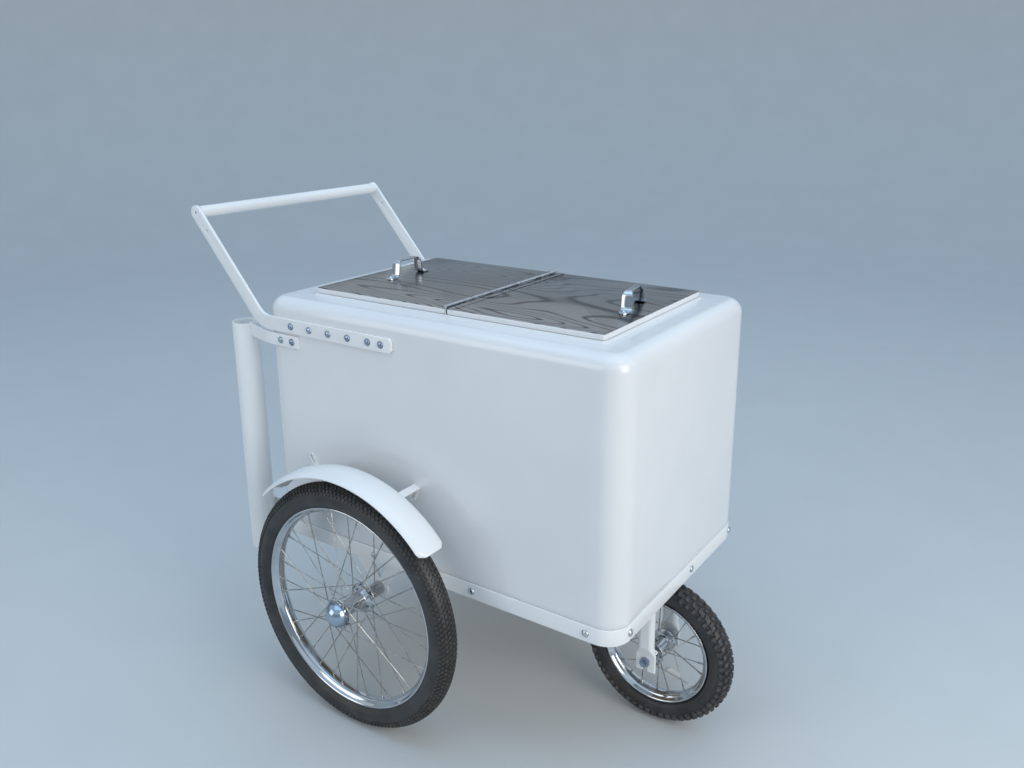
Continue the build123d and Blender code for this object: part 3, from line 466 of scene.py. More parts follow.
def plateMesh(outline, holes, thickness, edgeR, placePoint):
    data = bpy.data.curves.new("plate", "CURVE")
    data.dimensions = "2D"
    data.fill_mode = "BOTH"
    data.extrude = thickness / 2 - edgeR
    data.bevel_depth = edgeR
    data.bevel_resolution = 2
    data.offset = -edgeR
    for ring in (outline, *holes):
        spline = data.splines.new("POLY")
        spline.points.add(len(ring) - 1)
        spline.use_cyclic_u = True
        for k, (u, v) in enumerate(ring):
            spline.points[k].co = (u, v, 0, 1)
    holder = bpy.data.objects.new("plate", data)
    bpy.context.scene.collection.objects.link(holder)
    depsgraph = bpy.context.evaluated_depsgraph_get()
    flat = bpy.data.meshes.new_from_object(holder.evaluated_get(depsgraph))
    bpy.data.objects.remove(holder)
    form = bmesh.new()
    form.from_mesh(flat)
    for vertex in form.verts:
        vertex.co = Vector(placePoint(*vertex.co)) * mm
    tidyMesh(form, 35)
    form.to_mesh(flat)
    form.free()
    return flat


def newGeometryTree(name, inputs):
    tree = bpy.data.node_groups.new(name, "GeometryNodeTree")
    tree.interface.new_socket("Geometry", in_out="INPUT", socket_type="NodeSocketGeometry")
    for label, kind in inputs:
        tree.interface.new_socket(label, in_out="INPUT", socket_type=kind)
    tree.interface.new_socket("Geometry", in_out="OUTPUT", socket_type="NodeSocketGeometry")
    return tree, tree.nodes.new("NodeGroupInput"), tree.nodes.new("NodeGroupOutput")


def finishTree(tree, start, end, points, rotation):
    shape = addNode(tree, "GeometryNodeObjectInfo", {"Object": start.outputs["Piece"]})
    copies = addNode(tree, "GeometryNodeInstanceOnPoints", {"Points": points, "Rotation": rotation,
                     "Instance": shape.outputs["Geometry"]})
    plain = addNode(tree, "GeometryNodeRealizeInstances", {"Geometry": copies.outputs[0]})
    coated = addNode(tree, "GeometryNodeSetMaterial", {"Geometry": plain.outputs[0],
                     "Material": start.outputs["Finish"]})
    tree.links.new(coated.outputs[0], end.inputs["Geometry"])


def makeAxleTree():
    tree, start, end = newGeometryTree("copiesRoundAxle", (
        ("Piece", "NodeSocketObject"), ("Count", "NodeSocketInt"), ("First Turn", "NodeSocketFloat"),
        ("Turn Step", "NodeSocketFloat"), ("Axle", "NodeSocketVector"), ("Finish", "NodeSocketMaterial")))
    line = addNode(tree, "GeometryNodeMeshLine", {"Count": start.outputs["Count"],
                   "Start Location": start.outputs["Axle"], "Offset": (0, 0, 0)})
    number = addNode(tree, "GeometryNodeInputIndex")
    step = addNode(tree, "ShaderNodeMath", {0: number.outputs[0], 1: start.outputs["Turn Step"],
                   2: start.outputs["First Turn"]}, operation="MULTIPLY_ADD")
    turn = addNode(tree, "ShaderNodeCombineXYZ", {"Y": step.outputs[0]})
    finishTree(tree, start, end, line.outputs[0], turn.outputs[0])
    return tree


def makeBoltTree():
    tree, start, end = newGeometryTree("boltsOnPoints", (
        ("Piece", "NodeSocketObject"), ("Finish", "NodeSocketMaterial")))
    facing = addNode(tree, "GeometryNodeInputNamedAttribute", {"Name": "facing"}, data_type="FLOAT_VECTOR")
    aimed = addNode(tree, "FunctionNodeAlignRotationToVector", {"Vector": facing.outputs[0]}, axis="Z")
    finishTree(tree, start, end, start.outputs["Geometry"], aimed.outputs[0])
    return tree


axleTree = makeAxleTree()
boltTree = makeBoltTree()


def runTree(tree, carrier, values):
    holder = bpy.data.objects.new("holder", carrier)
    bpy.context.scene.collection.objects.link(holder)
    modifier = holder.modifiers.new("copies", "NODES")
    modifier.node_group = tree
    for item in tree.interface.items_tree:
        if item.in_out == "INPUT" and item.name in values:
            modifier[item.identifier] = values[item.name]
    bpy.context.view_layer.update()
    depsgraph = bpy.context.evaluated_depsgraph_get()
    result = bpy.data.meshes.new_from_object(holder.evaluated_get(depsgraph))
    bpy.data.objects.remove(holder)
    return result


def withSource(mesh, work):
    source = bpy.data.objects.new("source", mesh)
    bpy.context.scene.collection.objects.link(source)
    result = work(source)
    bpy.data.objects.remove(source)
    return result


def copiesRoundAxle(mesh, count, first, step, centre, material):
    values = {"Count": count, "First Turn": first, "Turn Step": step, "Axle": Vector(centre) * mm,
              "Finish": finish[material]}
    return withSource(mesh, lambda source: runTree(axleTree, bpy.data.meshes.new("seed"),
                                                   {**values, "Piece": source}))


def boltsAt(mesh, places, material):
    carrier = bpy.data.meshes.new("boltPoints")
    carrier.from_pydata([Vector(point) * mm for point, _ in places], [], [])
    facing = carrier.attributes.new("facing", "FLOAT_VECTOR", "POINT")
    for k, (_, normal) in enumerate(places):
        facing.data[k].vector = normal
    return withSource(mesh, lambda source: runTree(boltTree, carrier, {"Piece": source,
                                                                      "Finish": finish[material]}))


print("helpers ready")

shell = dict(cornerR=45, edgeR=28, skin=4, collar=3, collarMargin=5, footR=3, throatMargin=25, collarR=9,
             throatR=12, edgeSteps=9, innerSteps=4)

boxLow, boxHigh = nodeBox("body_shell")
boxMiddle = (boxLow + boxHigh) / 2
boxHalfX, boxHalfY = (boxHigh.x - boxLow.x) / 2, (boxHigh.y - boxLow.y) / 2
deckZ = boxHigh.z - shell["collar"]
rearLidLow, rearLidHigh = nodeBox("rear_lid_panel")
frontLidLow, frontLidHigh = nodeBox("front_lid_panel")
lidMiddle = ((rearLidLow.x + frontLidHigh.x) / 2, 0)
lidHalfX, lidHalfY = (frontLidHigh.x - rearLidLow.x) / 2, frontLidHigh.y


def boxRing(inset, z):
    return roundedRing(boxMiddle, boxHalfX - inset, boxHalfY - inset, shell["cornerR"] - inset, z)


def lidRing(grow, z, radius):
    return roundedRing(lidMiddle, lidHalfX + grow, lidHalfY + grow, radius, z)


def makeBodyShell():
    foot, edgeR, skin, top = shell["footR"], shell["edgeR"], shell["skin"], boxHigh.z
    grow, collarR = shell["collarMargin"], shell["collarR"]
    inward, throatR = -shell["throatMargin"], shell["throatR"]
    rings = [boxRing(foot * (1 - sin(radians(a))), boxLow.z + foot * (1 - cos(radians(a)))) for a in (0, 45,
                                                                                                      90)]
    rings += [boxRing(0, z) for z in (boxLow.z + 12, (boxLow.z + deckZ) / 2, deckZ - edgeR - 8)]
    for step in range(shell["edgeSteps"] + 1):
        turn = radians(90 * step / shell["edgeSteps"])
        rings.append(boxRing(edgeR * (1 - cos(turn)), deckZ - edgeR + edgeR * sin(turn)))
    rings.append(boxRing(edgeR + 2, deckZ))
    rings += [lidRing(out, z, collarR) for out, z in (
        (grow + 5, deckZ), (grow + 1.2, deckZ + 0.2), (grow, deckZ + 1.2), (grow - 0.2, top - 1), (grow - 1.4,
                                                                                                   top),
        (0, top))]
    rings += [lidRing(out, z, throatR) for out, z in (
        (inward, top), (inward, deckZ - skin), (inward / 2, deckZ - skin))]
    inner = edgeR - skin
    for step in range(shell["innerSteps"], -1, -1):
        turn = radians(90 * step / shell["innerSteps"])
        rings.append(boxRing(skin + inner * (1 - cos(turn)), deckZ - edgeR + inner * sin(turn)))
    rings += [boxRing(skin, boxLow.z + 4), boxRing(skin, boxLow.z)]
    addPiece("fibreglass_box", loftLoops(rings, closed=True, sharpAngle=55), "whiteGelcoat", "cart",
             ("body_shell",))


makeBodyShell()

rail = dict(proud=1.5, height=32, wall=3, flange=30, edgeR=1.3)
railLow, railHigh = nodeBox("base_rail")


def makeRail():
    wall, flange = rail["wall"], rail["flange"]
    section = ((0, railLow.z), (0, railHigh.z), (flange, railHigh.z), (flange, railHigh.z - wall),
               (wall, railHigh.z - wall), (wall, railLow.z))
    section = softenLoop([(inset, 0, z) for inset, z in section], rail["edgeR"], 3)
    rings = [boxRing(inset - rail["proud"], z) for inset, _, z in section]
    addPiece("rail", loftLoops(rings, closed=True), "whiteEnamel", "cart", ("base_rail",))


makeRail()

bolt = dict(headR=7.4, headHeight=4, flangeHeight=0.8, railPitch=249, railLead=63, frontYs=(-225, 38, 235),
            rearYs=(-225, 0, 225), armOffsets=(26, 59, 111.5, 164, 216.5, 269), strapOffsets=(17, 49),
            armThickness=6, strapThickness=5)


def domeHead():
    radius, height = bolt["headR"], bolt["headHeight"]
    profile = [(radius, -0.6), (radius, bolt["flangeHeight"] * 0.6), (radius - 0.4, bolt["flangeHeight"])]
    for step in range(6):
        turn = radians(90 * step / 5)
        rise = (height - bolt["flangeHeight"]) * sin(turn)
        profile.append(((radius - 0.9) * cos(turn), bolt["flangeHeight"] + rise))
    profile.append((0, -0.6))
    return spinProfile(profile, (0, 0, 0), "Z", steps=28)


def placeBolts():
    head = domeHead()
    railZ = (railLow.z + railHigh.z) / 2
    places = []
    for k in range(4):
        x = boxHigh.x - bolt["railLead"] - bolt["railPitch"] * k
        places += [((x, side * railHigh.y, railZ), (0, side, 0)) for _, side in sides]
    places += [((railHigh.x, y, railZ), (1, 0, 0)) for y in bolt["frontYs"]]
    places += [((railLow.x, y, railZ), (-1, 0, 0)) for y in bolt["rearYs"]]
    addPiece("rail_bolt_heads", boltsAt(head, places, "hingeSteel"), "hingeSteel", "cart", ("rail_bolts",))
    armLow, armHigh = nodeBox("right_handle_arm")
    armZ = armLow.z + handle["width"] / 2
    places = [((armHigh.x - offset, side * (boxHalfY + bolt["armThickness"]), armZ), (0, side, 0))
              for offset in bolt["armOffsets"] for _, side in sides]
    addPiece("arm_bolt_heads", boltsAt(head, places, "zincSteel"), "zincSteel", "cart", ("arm_bolts",))
    strapLow, strapHigh = nodeBox("umbrella_strap")
    places = [((strapHigh.x - offset, strapLow.y, (strapLow.z + strapHigh.z) / 2), (0, -1, 0))
              for offset in bolt["strapOffsets"]]
    addPiece("strap_bolt_heads", boltsAt(head, places, "zincSteel"), "zincSteel", "cart", ("strap_bolts",))


handle = dict(width=30, thickness=6, bendR=55, bendBack=2, tipCut=6, edgeR=0.9, holeR=2.6, holeDown=48,
              weld=2.2)


def armCentreLine(front, bend, tip):
    along, up = (front - bend).normalized(), (tip - bend).normalized()
    half = acos(max(-1, min(1, along.dot(up)))) / 2
    reach = handle["bendR"] / tan(half)
    arcCentre = bend + (along + up).normalized() * (handle["bendR"] / sin(half))
    startArm = bend + along * reach - arcCentre
    line = [front]
    for step in range(13):
        line.append(arcCentre + Matrix.Rotation((2 * half - pi) * step / 12, 2) @ startArm)
    return line


def makeHandle():
    armLow, armHigh = nodeBox("right_handle_arm")
    barLow, barHigh = nodeBox("push_bar")
    half = handle["width"] / 2
    front = Vector((armHigh.x, armLow.z + half))
    bend = Vector((boxLow.x - handle["bendBack"], armLow.z + half))
    tip = Vector(((barLow.x + barHigh.x) / 2, (barLow.z + barHigh.z) / 2))
    line = armCentreLine(front, bend, tip)
    under, over = [], []
    for k, point in enumerate(line[1:], 1):
        heading = ((line + [tip])[k + 1] - line[k - 1]).normalized()
        normal = Vector((-heading.y, heading.x))
        under.append(point + normal * half)
        over.append(point - normal * half)
    cut = handle["tipCut"]
    heading = (tip - line[-1]).normalized()
    normal = Vector((-heading.y, heading.x))
    cap = [tip + normal * half * cos(radians(a)) + heading * half * sin(radians(a)) for a in range(0, 181,
                                                                                                   15)]
    nose = [Vector((front.x - cut, front.y + half)), Vector((front.x, front.y + half - cut)),
            Vector((front.x, front.y - half + cut)), Vector((front.x - cut, front.y - half))]
    outline = under + cap + over[::-1] + nose
    hole = tip - heading * handle["holeDown"]
    rings = [[(at.x + handle["holeR"] * cos(radians(a)), at.y + handle["holeR"] * sin(radians(a)))
              for a in range(0, 360, 30)] for at in (hole, tip)]
    for name, side in sides:
        middleY = side * (boxHalfY + handle["thickness"] / 2)
        mesh = plateMesh([tuple(p) for p in outline], rings, handle["thickness"], handle["edgeR"],
                         lambda u, v, w, y=middleY: (u, y + w, v))
        addPiece(f"{name}_flat_arm", mesh, "whiteEnamel", "cart", (f"{name}_handle_arm",))
    radius, weld, reach = (barHigh.z - barLow.z) / 2, handle["weld"], boxHalfY
    profile = [(radius - 2, -reach), (radius + weld, -reach), (radius + weld * 0.7, 1 - reach),
               (radius + 0.3, weld - reach), (radius, 2 * weld - reach), (radius, reach - 2 * weld),
               (radius + 0.3, reach - weld), (radius + weld * 0.7, reach - 1), (radius + weld, reach),
               (radius - 2, reach)]
    mesh = spinProfile(profile, (tip.x, 0, tip.y), "Y", steps=56)
    addPiece("push_rail", mesh, "whiteEnamel", "cart", ("push_bar",))


makeHandle()
placeBolts()
print("box, rail, bolts and handle ready")

umbrella = dict(wall=2, lipR=0.7, weld=2.4, bendR=14, strapEdgeR=1.1, strapBendX=-365.75)


def makeUmbrellaHolder():
    low, high = nodeBox("umbrella_tube")
    middle = (low + high) / 2
    radius = (high.x - low.x) / 2
    strapLow, strapHigh = nodeBox("umbrella_strap")
    inner = radius - umbrella["wall"]
    profile = softenLoop([(radius, low.z, 0), (radius, high.z, 0), (inner, high.z, 0), (inner, low.z, 0)],
                         umbrella["lipR"], 3)
    mesh = spinProfile([(r, z) for r, z, _ in profile], (middle.x, middle.y, 0), "Z", steps=64)
    addPiece("umbrella_socket_tube", mesh, "whiteEnamel", "cart", ("umbrella_tube",))
    thickness = bolt["strapThickness"]
    strapZ = (strapLow.z + strapHigh.z) / 2
    runY = -(boxHalfY + thickness / 2)
    bend = Vector((umbrella["strapBendX"], runY, strapZ))
    toTube = Vector((middle.x, middle.y, strapZ)) - bend
    path = [(strapHigh.x, runY, strapZ), bend, bend + toTube * (1 - (radius - 0.5) / toTube.length)]
    path = softenLoop(path, umbrella["bendR"], 6, closed=False)
    mesh = sweepStrap(path, (0, 0, 1), [strapHigh.z - strapLow.z] * len(path), thickness,
                      umbrella["strapEdgeR"])
    lean = toTube.normalized().cross(Vector((0, 0, 1)))
    weldLoop = [path[-1] + lean * u * thickness / 2 + Vector((0, 0, v * (strapHigh.z - strapLow.z) / 2))
                for u, v in ((1, 1), (-1, 1), (-1, -1), (1, -1), (1, 1))]
    bead = sweepTube(softenLoop(weldLoop, 2, 3, closed=False), umbrella["weld"], 10)
    addPiece("umbrella_flat_strap", joinMeshes([mesh, bead]), "whiteEnamel", "cart", ("umbrella_strap",))


makeUmbrellaHolder()

fender = dict(crown=8, sheet=2, frontAngle=40, rearAngle=137, steps=72, endR=14, lip=2.2, lipFrom=0.86,
              acrossSteps=14)


def makeFender(name):
    low, high = nodeBox(f"{name}_fender")
    wheel = nodeMiddle(f"{name}_tyre")
    topR = high.z - wheel.z
    chord = (high.y - low.y) / 2
    crownR = (chord ** 2 + fender["crown"] ** 2) / (2 * fender["crown"])
    sweep = fender["rearAngle"] - fender["frontAngle"]
    loops = []
    for step in range(fender["steps"] + 1):
        share = step / fender["steps"]
        fromEnd = min(share, 1 - share) * radians(sweep) * topR
        bite = max(fender["endR"] - fromEnd, 0)
        half = chord - fender["endR"] + sqrt(max(fender["endR"] ** 2 - bite ** 2, 1))
        turn = radians(fender["frontAngle"] + sweep * share)
        outer, inner = [], []
        for k in range(fender["acrossSteps"] + 1):
            y = half * (2 * k / fender["acrossSteps"] - 1)
            r = topR - crownR + sqrt(crownR ** 2 - y ** 2)
            r -= fender["lip"] * max(abs(y) / half - fender["lipFrom"], 0) / (1 - fender["lipFrom"])
            outer.append((r, y))
            inner.append((r - fender["sheet"], y * (1 - 0.5 / half)))
        loops.append([wheel + Vector((r * cos(turn), y, r * sin(turn))) for r, y in outer + inner[::-1]])
    mesh = loftLoops(loops, capped=True, sharpAngle=50)
    addPiece(f"{name}_mudguard", mesh, "whiteEnamel", "cart", (f"{name}_fender",))


for name, _ in sides:
    makeFender(name)
print("fenders and umbrella holder ready")

lid = dict(edgeR=1.6, cornerR=4, sheetCornerR=3, sheetEdgeR=0.4)


def slabMesh(low, high, cornerR, edgeR):
    middle = (low + high) / 2
    halfX, halfY = (high.x - low.x) / 2, (high.y - low.y) / 2
    rings = []
    for z, lean in ((low.z, 1), (high.z, -1)):
        for a in (0, 30, 60, 90)[::lean]:
            inset = edgeR * (1 - sin(radians(a)))
            rings.append(roundedRing(middle, halfX - inset, halfY - inset, cornerR - inset / 2,
                                     z + lean * edgeR * (1 - cos(radians(a)))))
    return loftLoops(rings, capped=True, sharpAngle=55)


pull = dict(height=38, strap=3, topWidth=11, legWidth=21, footWidth=21, foot=29, lean=5, bendR=9, skew=10,
            topRise=0.8,
            screwR=5, screwHeight=2, smoothings=6, edgeR=1.1)


def pullPath(half):
    legFoot = half - pull["foot"]
    low, top = pull["strap"] / 2, pull["height"] - pull["strap"] / 2
    corners = [(-half, low), (-legFoot, low), (-legFoot + pull["lean"], top), (legFoot - pull["lean"], top),
               (legFoot, low), (half, low)]
    path = softenLoop([(0, y, z) for y, z in corners], pull["bendR"], 8, closed=False)
    dense = []
    for a, b in zip(path, path[1:]):
        pieces = max(int((b - a).length / 2.5), 1)
        dense += [a.lerp(b, k / pieces) for k in range(pieces)]
    return dense + [path[-1]]


def makePull(end):
    low, high = nodeBox(f"{end}_lid_pull")
    middle = (low + high) / 2
    half = (high.y - low.y) / 2
    path = pullPath(half)
    widths = []
    for point in path:
        fromTip = half - abs(point.y)
        rise = min(max(point.z / pull["height"], 0), 1)
        width = pull["footWidth"] + (pull["legWidth"] - pull["footWidth"]) * sin(pi * rise)
        if rise > pull["topRise"]:
            width += (pull["topWidth"] - width) * (rise - pull["topRise"]) / (1 - pull["topRise"])
        tipR = pull["footWidth"] / 2
        if fromTip < tipR:
            width = 2 * sqrt(max(tipR ** 2 - (tipR - fromTip) ** 2, 1))
        widths.append(width)
    for _ in range(pull["smoothings"]):
        mean = [(a + 2 * b + c) / 4 for a, b, c in zip(widths, widths[1:], widths[2:])]
        widths = [widths[0], *mean, widths[-1]]
    skew = Matrix.Rotation(radians(pull["skew"] if end == "front" else 0), 3, "Z")
    base = Vector((middle.x, 0, low.z))
    strap = sweepStrap([base + skew @ point for point in path], skew @ Vector((1, 0, 0)), widths,
                       pull["strap"],
                       pull["edgeR"])
    addPiece(f"{end}_bow_pull", strap, "chromePlate", f"{end}_lid", (f"{end}_lid_pull",))
    screwY = half - pull["foot"] / 2 + 1
    places = [(base + skew @ Vector((0, s * screwY, pull["strap"])), (0, 0, 1)) for s in (-1, 1)]
    addPiece(f"{end}_pull_screw_heads",
             boltsAt(screwHead(pull["screwR"], pull["screwHeight"]), places, "chromePlate"),
             "chromePlate", f"{end}_lid", (f"{end}_pull_screws",))


def screwHead(radius, height):
    profile = [(0, -0.2), (radius, -0.2), (radius, height * 0.2), (radius * 0.85, height * 0.65),
               (radius * 0.55, height), (radius * 0.5, height * 0.55), (0, height * 0.5)]
    return spinProfile(profile, (0, 0, 0), "Z", steps=20)


def makeLid(end):
    low, high = nodeBox(f"{end}_lid_panel")
    addPiece(f"{end}_lid_slab", slabMesh(low, high, lid["cornerR"], lid["edgeR"]), "whiteGelcoat",
             f"{end}_lid",
             (f"{end}_lid_panel",))
    low, high = nodeBox(f"{end}_lid_sheet")
    # The mirror sheet finish carries a painted dark reflection in its base colour.
    addPiece(f"{end}_mirror_sheet", slabMesh(low, high, lid["sheetCornerR"], lid["sheetEdgeR"]),
             "mirrorSheet",
             f"{end}_lid", (f"{end}_lid_sheet",))
    makePull(end)


hinge = dict(knuckles=13, gap=0.5, barrelR=3, boreR=1.65, leaf=0.8, inner=3.4, edgeR=0.3,
             owners={"rear": (1, 4, 7, 10), "front": (2, 3, 5, 8, 9, 11)})


def makeHingeLeaf(end):
    low, high = nodeBox(f"{end}_hinge_leaf")
    pin = nodeMiddle("hinge_pin")
    way = -1 if end == "rear" else 1
    pitch = (high.y - low.y) / hinge["knuckles"]
    inner, outer = sorted((pin.x + way * hinge["inner"], low.x if way < 0 else high.x))
    bottom = pin.z - hinge["barrelR"]
    leaf = slabMesh(Vector((inner, low.y, bottom)), Vector((outer, high.y, bottom + hinge["leaf"])), 1,
                    hinge["edgeR"])
    # The hinge leaves take the mirror sheet finish with its painted dark reflection, so they read dark beside
    # the bright knuckles.
    addPiece(f"{end}_hinge_strip", leaf, "mirrorSheet", f"{end}_lid", (f"{end}_hinge_leaf",))
    half = pitch / 2 - hinge["gap"] / 2
    radius, bore = hinge["barrelR"], hinge["boreR"]
    profile = [(bore, -half), (radius - 0.4, -half), (radius, 0.4 - half), (radius, half - 0.4),
               (radius - 0.4, half),
               (bore, half)]
    barrels = []
    for k in hinge["owners"][end]:
        middleY = low.y + pitch * (k + 0.5)
        barrels.append(spinProfile(profile, (pin.x, middleY, pin.z), "Y", steps=24))
        tongueInner, tongueOuter = sorted((pin.x + way, pin.x + way * (hinge["inner"] + 1)))
        barrels.append(slabMesh(Vector((tongueInner, middleY - half, bottom)),
                                Vector((tongueOuter, middleY + half, bottom + hinge["leaf"])), 0.5, 0.2))
    addPiece(f"{end}_hinge_knuckles", joinMeshes(barrels), "hingeSteel", f"{end}_lid")


for end in ("rear", "front"):
    makeLid(end)
    makeHingeLeaf(end)
print("lids ready")

rearWheel = dict(sectionR=27.5, rimR=215.7, rimHalf=17, count=36, flangeR=32, flangeY=35, cross=60,
                 hubHalf=42,
                 barrelR=15.5, housingR=25, boreR=11, casing=2.4)
frontWheel = dict(sectionR=27, rimR=115, rimHalf=18, count=20, flangeR=25, flangeY=28, cross=36, hubHalf=49,
                  barrelR=12, housingR=14, boreR=5.2, casing=4.4)
spoke = dict(radius=1.15, nippleR=2.1, nippleLength=13, headR=2.3, inset=5, outside=5, inside=3, rimY=4,
             wellDrop=16,
             headY=2.6, elbowR=2.5)
rimTrim = dict(edgeDrop=2.5, shoulderDrop=8.5, softR=2.2, beadDrop=5.5)
wheelSteps = 144
tyreTrim = dict(wall=6, ribs=((62, 0.5, 1.6), (74, 0.35, 1.2), (112, 0.5, 2.0), (128, 1.0, 2.6)))
tread = {
    "rear": dict(count=156,
                 rows=((-63, 0, 6.2, 6.0), (-48, 26, 5.2, 6.6), (-33, -26, 5.2, 6.6), (-17, 26, 5.2, 6.6),
                                  (0, -26, 5.2, 6.6), (17, 26, 5.2, 6.6), (33, -26, 5.2, 6.6), (48, 26, 5.2,
                                                                                                6.6),
                                  (63, 0, 6.2, 6.0)), height=2.4, draft=0.78, skew=1.1),
    "front": dict(count=58, rows=((-62, 0, 9, 10), (-38, 18, 9.5, 9.5), (-13, -20, 10, 8), (13, 20, 10, 8),
                                  (38, -18, 9.5, 9.5), (62, 0, 9, 10)), height=4.4, draft=0.74, skew=1.1),
}


def wheelPoint(side, radius, turn, y):
    return Vector((radius * cos(turn), side * y, -side * radius * sin(turn)))


def makeTyre(name, body, wheel, pattern, materials):
    low, high = nodeBox(f"{name}tyre")
    centre = (low + high) / 2
    tyreR = (high.z - low.z) / 2
    section = wheel["sectionR"]
    ringR = tyreR - section
    casing = section - wheel["casing"]
    beadAngle = acos((wheel["rimR"] - rimTrim["beadDrop"] - ringR) / casing)
    outer, inner = [], []
    for step in range(61):
        turn = beadAngle * (2 * step / 60 - 1)
        degreesAt = abs(turn) * 180 / pi
        swell = sum(height * exp(-((degreesAt - at) / wide) ** 2) for at, height, wide in tyreTrim["ribs"])
        outer.append((ringR + (casing + swell) * cos(turn), (casing + swell) * sin(turn)))
        inside = casing - tyreTrim["wall"]
        inner.append((ringR + inside * cos(turn), inside * sin(turn)))
    mesh = spinProfile(outer + inner[::-1], centre, "Y", steps=wheelSteps, sharpAngle=50)
    addPiece(f"{name}casing", mesh, materials[0], body, (f"{name}tyre",))
    rows = []
    for number, (sectionTurn, twist, long, wide) in enumerate(pattern["rows"]):
        block = treadBlock(ringR, casing, radians(sectionTurn), radians(twist), long, wide, pattern)
        step = 2 * pi / pattern["count"]
        rows.append(copiesRoundAxle(block, pattern["count"], (number % 2) * step / 2, step, centre,
                                    materials[1]))
    addPiece(f"{name}tread", joinMeshes(rows), materials[1], body)


def treadBlock(ringR, casing, sectionTurn, twist, long, wide, pattern):
    outward = Vector((cos(sectionTurn), sin(sectionTurn), 0))
    across = Vector((-sin(sectionTurn), cos(sectionTurn), 0))
    along = Vector((0, 0, 1))
    base = Vector((ringR, 0, 0)) + outward * (casing - 1)
    points = []
    for level, scale in ((0, 1), (pattern["height"] + 1, pattern["draft"])):
        for u, v in ((-1, -1), (1, -1), (1, 1), (-1, 1)):
            s, t = u * wide / 2 * scale, v * long / 2 * scale
            skewed = t + s * sin(twist) * pattern["skew"]
            points.append(base + outward * level + across * s + along * skewed)
    faces = [(0, 1, 2, 3), (4, 5, 6, 7), (0, 1, 5, 4), (1, 2, 6, 5), (2, 3, 7, 6), (3, 0, 4, 7)]
    return meshOf(points, faces, 20)


def makeRim(name, body, wheel):
    centre = nodeMiddle(f"{name}rim")
    top, half = wheel["rimR"] - rimTrim["edgeDrop"], wheel["rimHalf"]
    shoulder, well = wheel["rimR"] - rimTrim["shoulderDrop"], wheel["rimR"] - spoke["wellDrop"]
    right = [(top + 0.6, half - 0.6), (top - 1.2, half + 1.0), (top - 3.4, half - 0.2),
             (shoulder - 1, half - 5),
             (shoulder - 4.5, half - 7.5), (well + 1.2, half * 0.42), (well, half * 0.2)]
    upper = [(well + 2.4, half * 0.2), (well + 3.4, half * 0.44), (shoulder - 2, half - 8),
             (shoulder + 1.3, half - 5.4), (top - 2.7, half - 2.4), (top - 0.4, half - 2.2)]
    loop = right + [(r, -y) for r, y in reversed(right)] + [(r, -y) for r, y in upper] + upper[::-1]
    soft = softenLoop([(r, y, 0) for r, y in loop], rimTrim["softR"], 3)
    mesh = spinProfile([(r, y) for r, y, _ in soft], centre, "Y", steps=wheelSteps, sharpAngle=60)
    addPiece(f"{name}chrome_rim", mesh, "chromePlate", body, (f"{name}rim",))


def makeSpokes(name, body, wheel, side):
    centre = nodeMiddle(f"{name}rim")
    pitch = 4 * 2 * pi / wheel["count"]
    hubR, endR = wheel["flangeR"] - spoke["inset"], wheel["rimR"] - spoke["wellDrop"] + 1.5
    sets = []
    for face in (-1, 1):
        for lean in (-1, 1):
            first = (1 - lean) * pitch / 4 + (1 - face) * pitch / 8
            last = first + lean * radians(wheel["cross"])
            outside = lean > 0
            runY = face * (wheel["flangeY"] + (spoke["outside"] if outside else -spoke["inside"]))
            headY = face * (wheel["flangeY"] + (-spoke["headY"] if outside else spoke["headY"]))
            start = wheelPoint(side, hubR, first, runY)
            end = wheelPoint(side, endR, last, face * spoke["rimY"])
            head = wheelPoint(side, hubR, first, headY)
            heading = (end - start).normalized()
            nippleStart = end - heading * spoke["nippleLength"]
            wire = softenLoop([head, start, nippleStart], spoke["elbowR"], 3, closed=False)
            parts = [sweepTube(wire, spoke["radius"], 7)]
            parts.append(sweepTube([nippleStart, nippleStart + heading * 1.2, end - heading * 3, end],
                                   [spoke["radius"] + 0.3, spoke["nippleR"] * 0.8, spoke["nippleR"] * 0.85,
                                    spoke["nippleR"] * 1.3], 8))
            outward = (head - start).normalized()
            parts.append(sweepTube([head - outward * 0.4, head + outward * 0.5, head + outward * 1.1],
                                   [spoke["headR"], spoke["headR"], spoke["headR"] * 0.55], 8))
            sets.append(copiesRoundAxle(joinMeshes(parts), wheel["count"] // 4, 0, side * pitch, centre,
                                        "spokeSteel"))
    addPiece(f"{name}wire_spokes", joinMeshes(sets), "spokeSteel", body, (f"{name}spokes",))


def makeHub(name, body, wheel, side):
    centre = nodeMiddle(f"{name}rim")
    flangeY, flangeR, half = wheel["flangeY"], wheel["flangeR"], wheel["hubHalf"]
    barrel, housing, bore = wheel["barrelR"], wheel["housingR"], wheel["boreR"]
    upper = [(bore, half), (housing - 0.6, half), (housing, half - 1), (housing, flangeY + 1.6),
             (flangeR, flangeY + 1.3), (flangeR, flangeY - 1.3), (housing * 0.92, flangeY - 3.4),
             (barrel + 1.5, flangeY - 11), (barrel, 6)]
    loop = upper + [(r, -y) for r, y in reversed(upper)]
    soft = softenLoop([(r, y, 0) for r, y in loop], 1.3, 3)
    mesh = spinProfile([(r, y) for r, y, _ in soft], centre, "Y", side, steps=64, sharpAngle=60)
    addPiece(f"{name}spool_hub", mesh, "chromePlate", body, (f"{name}hub",))


hubCap = dict(lip=1.4, wall=1.4, steps=14)


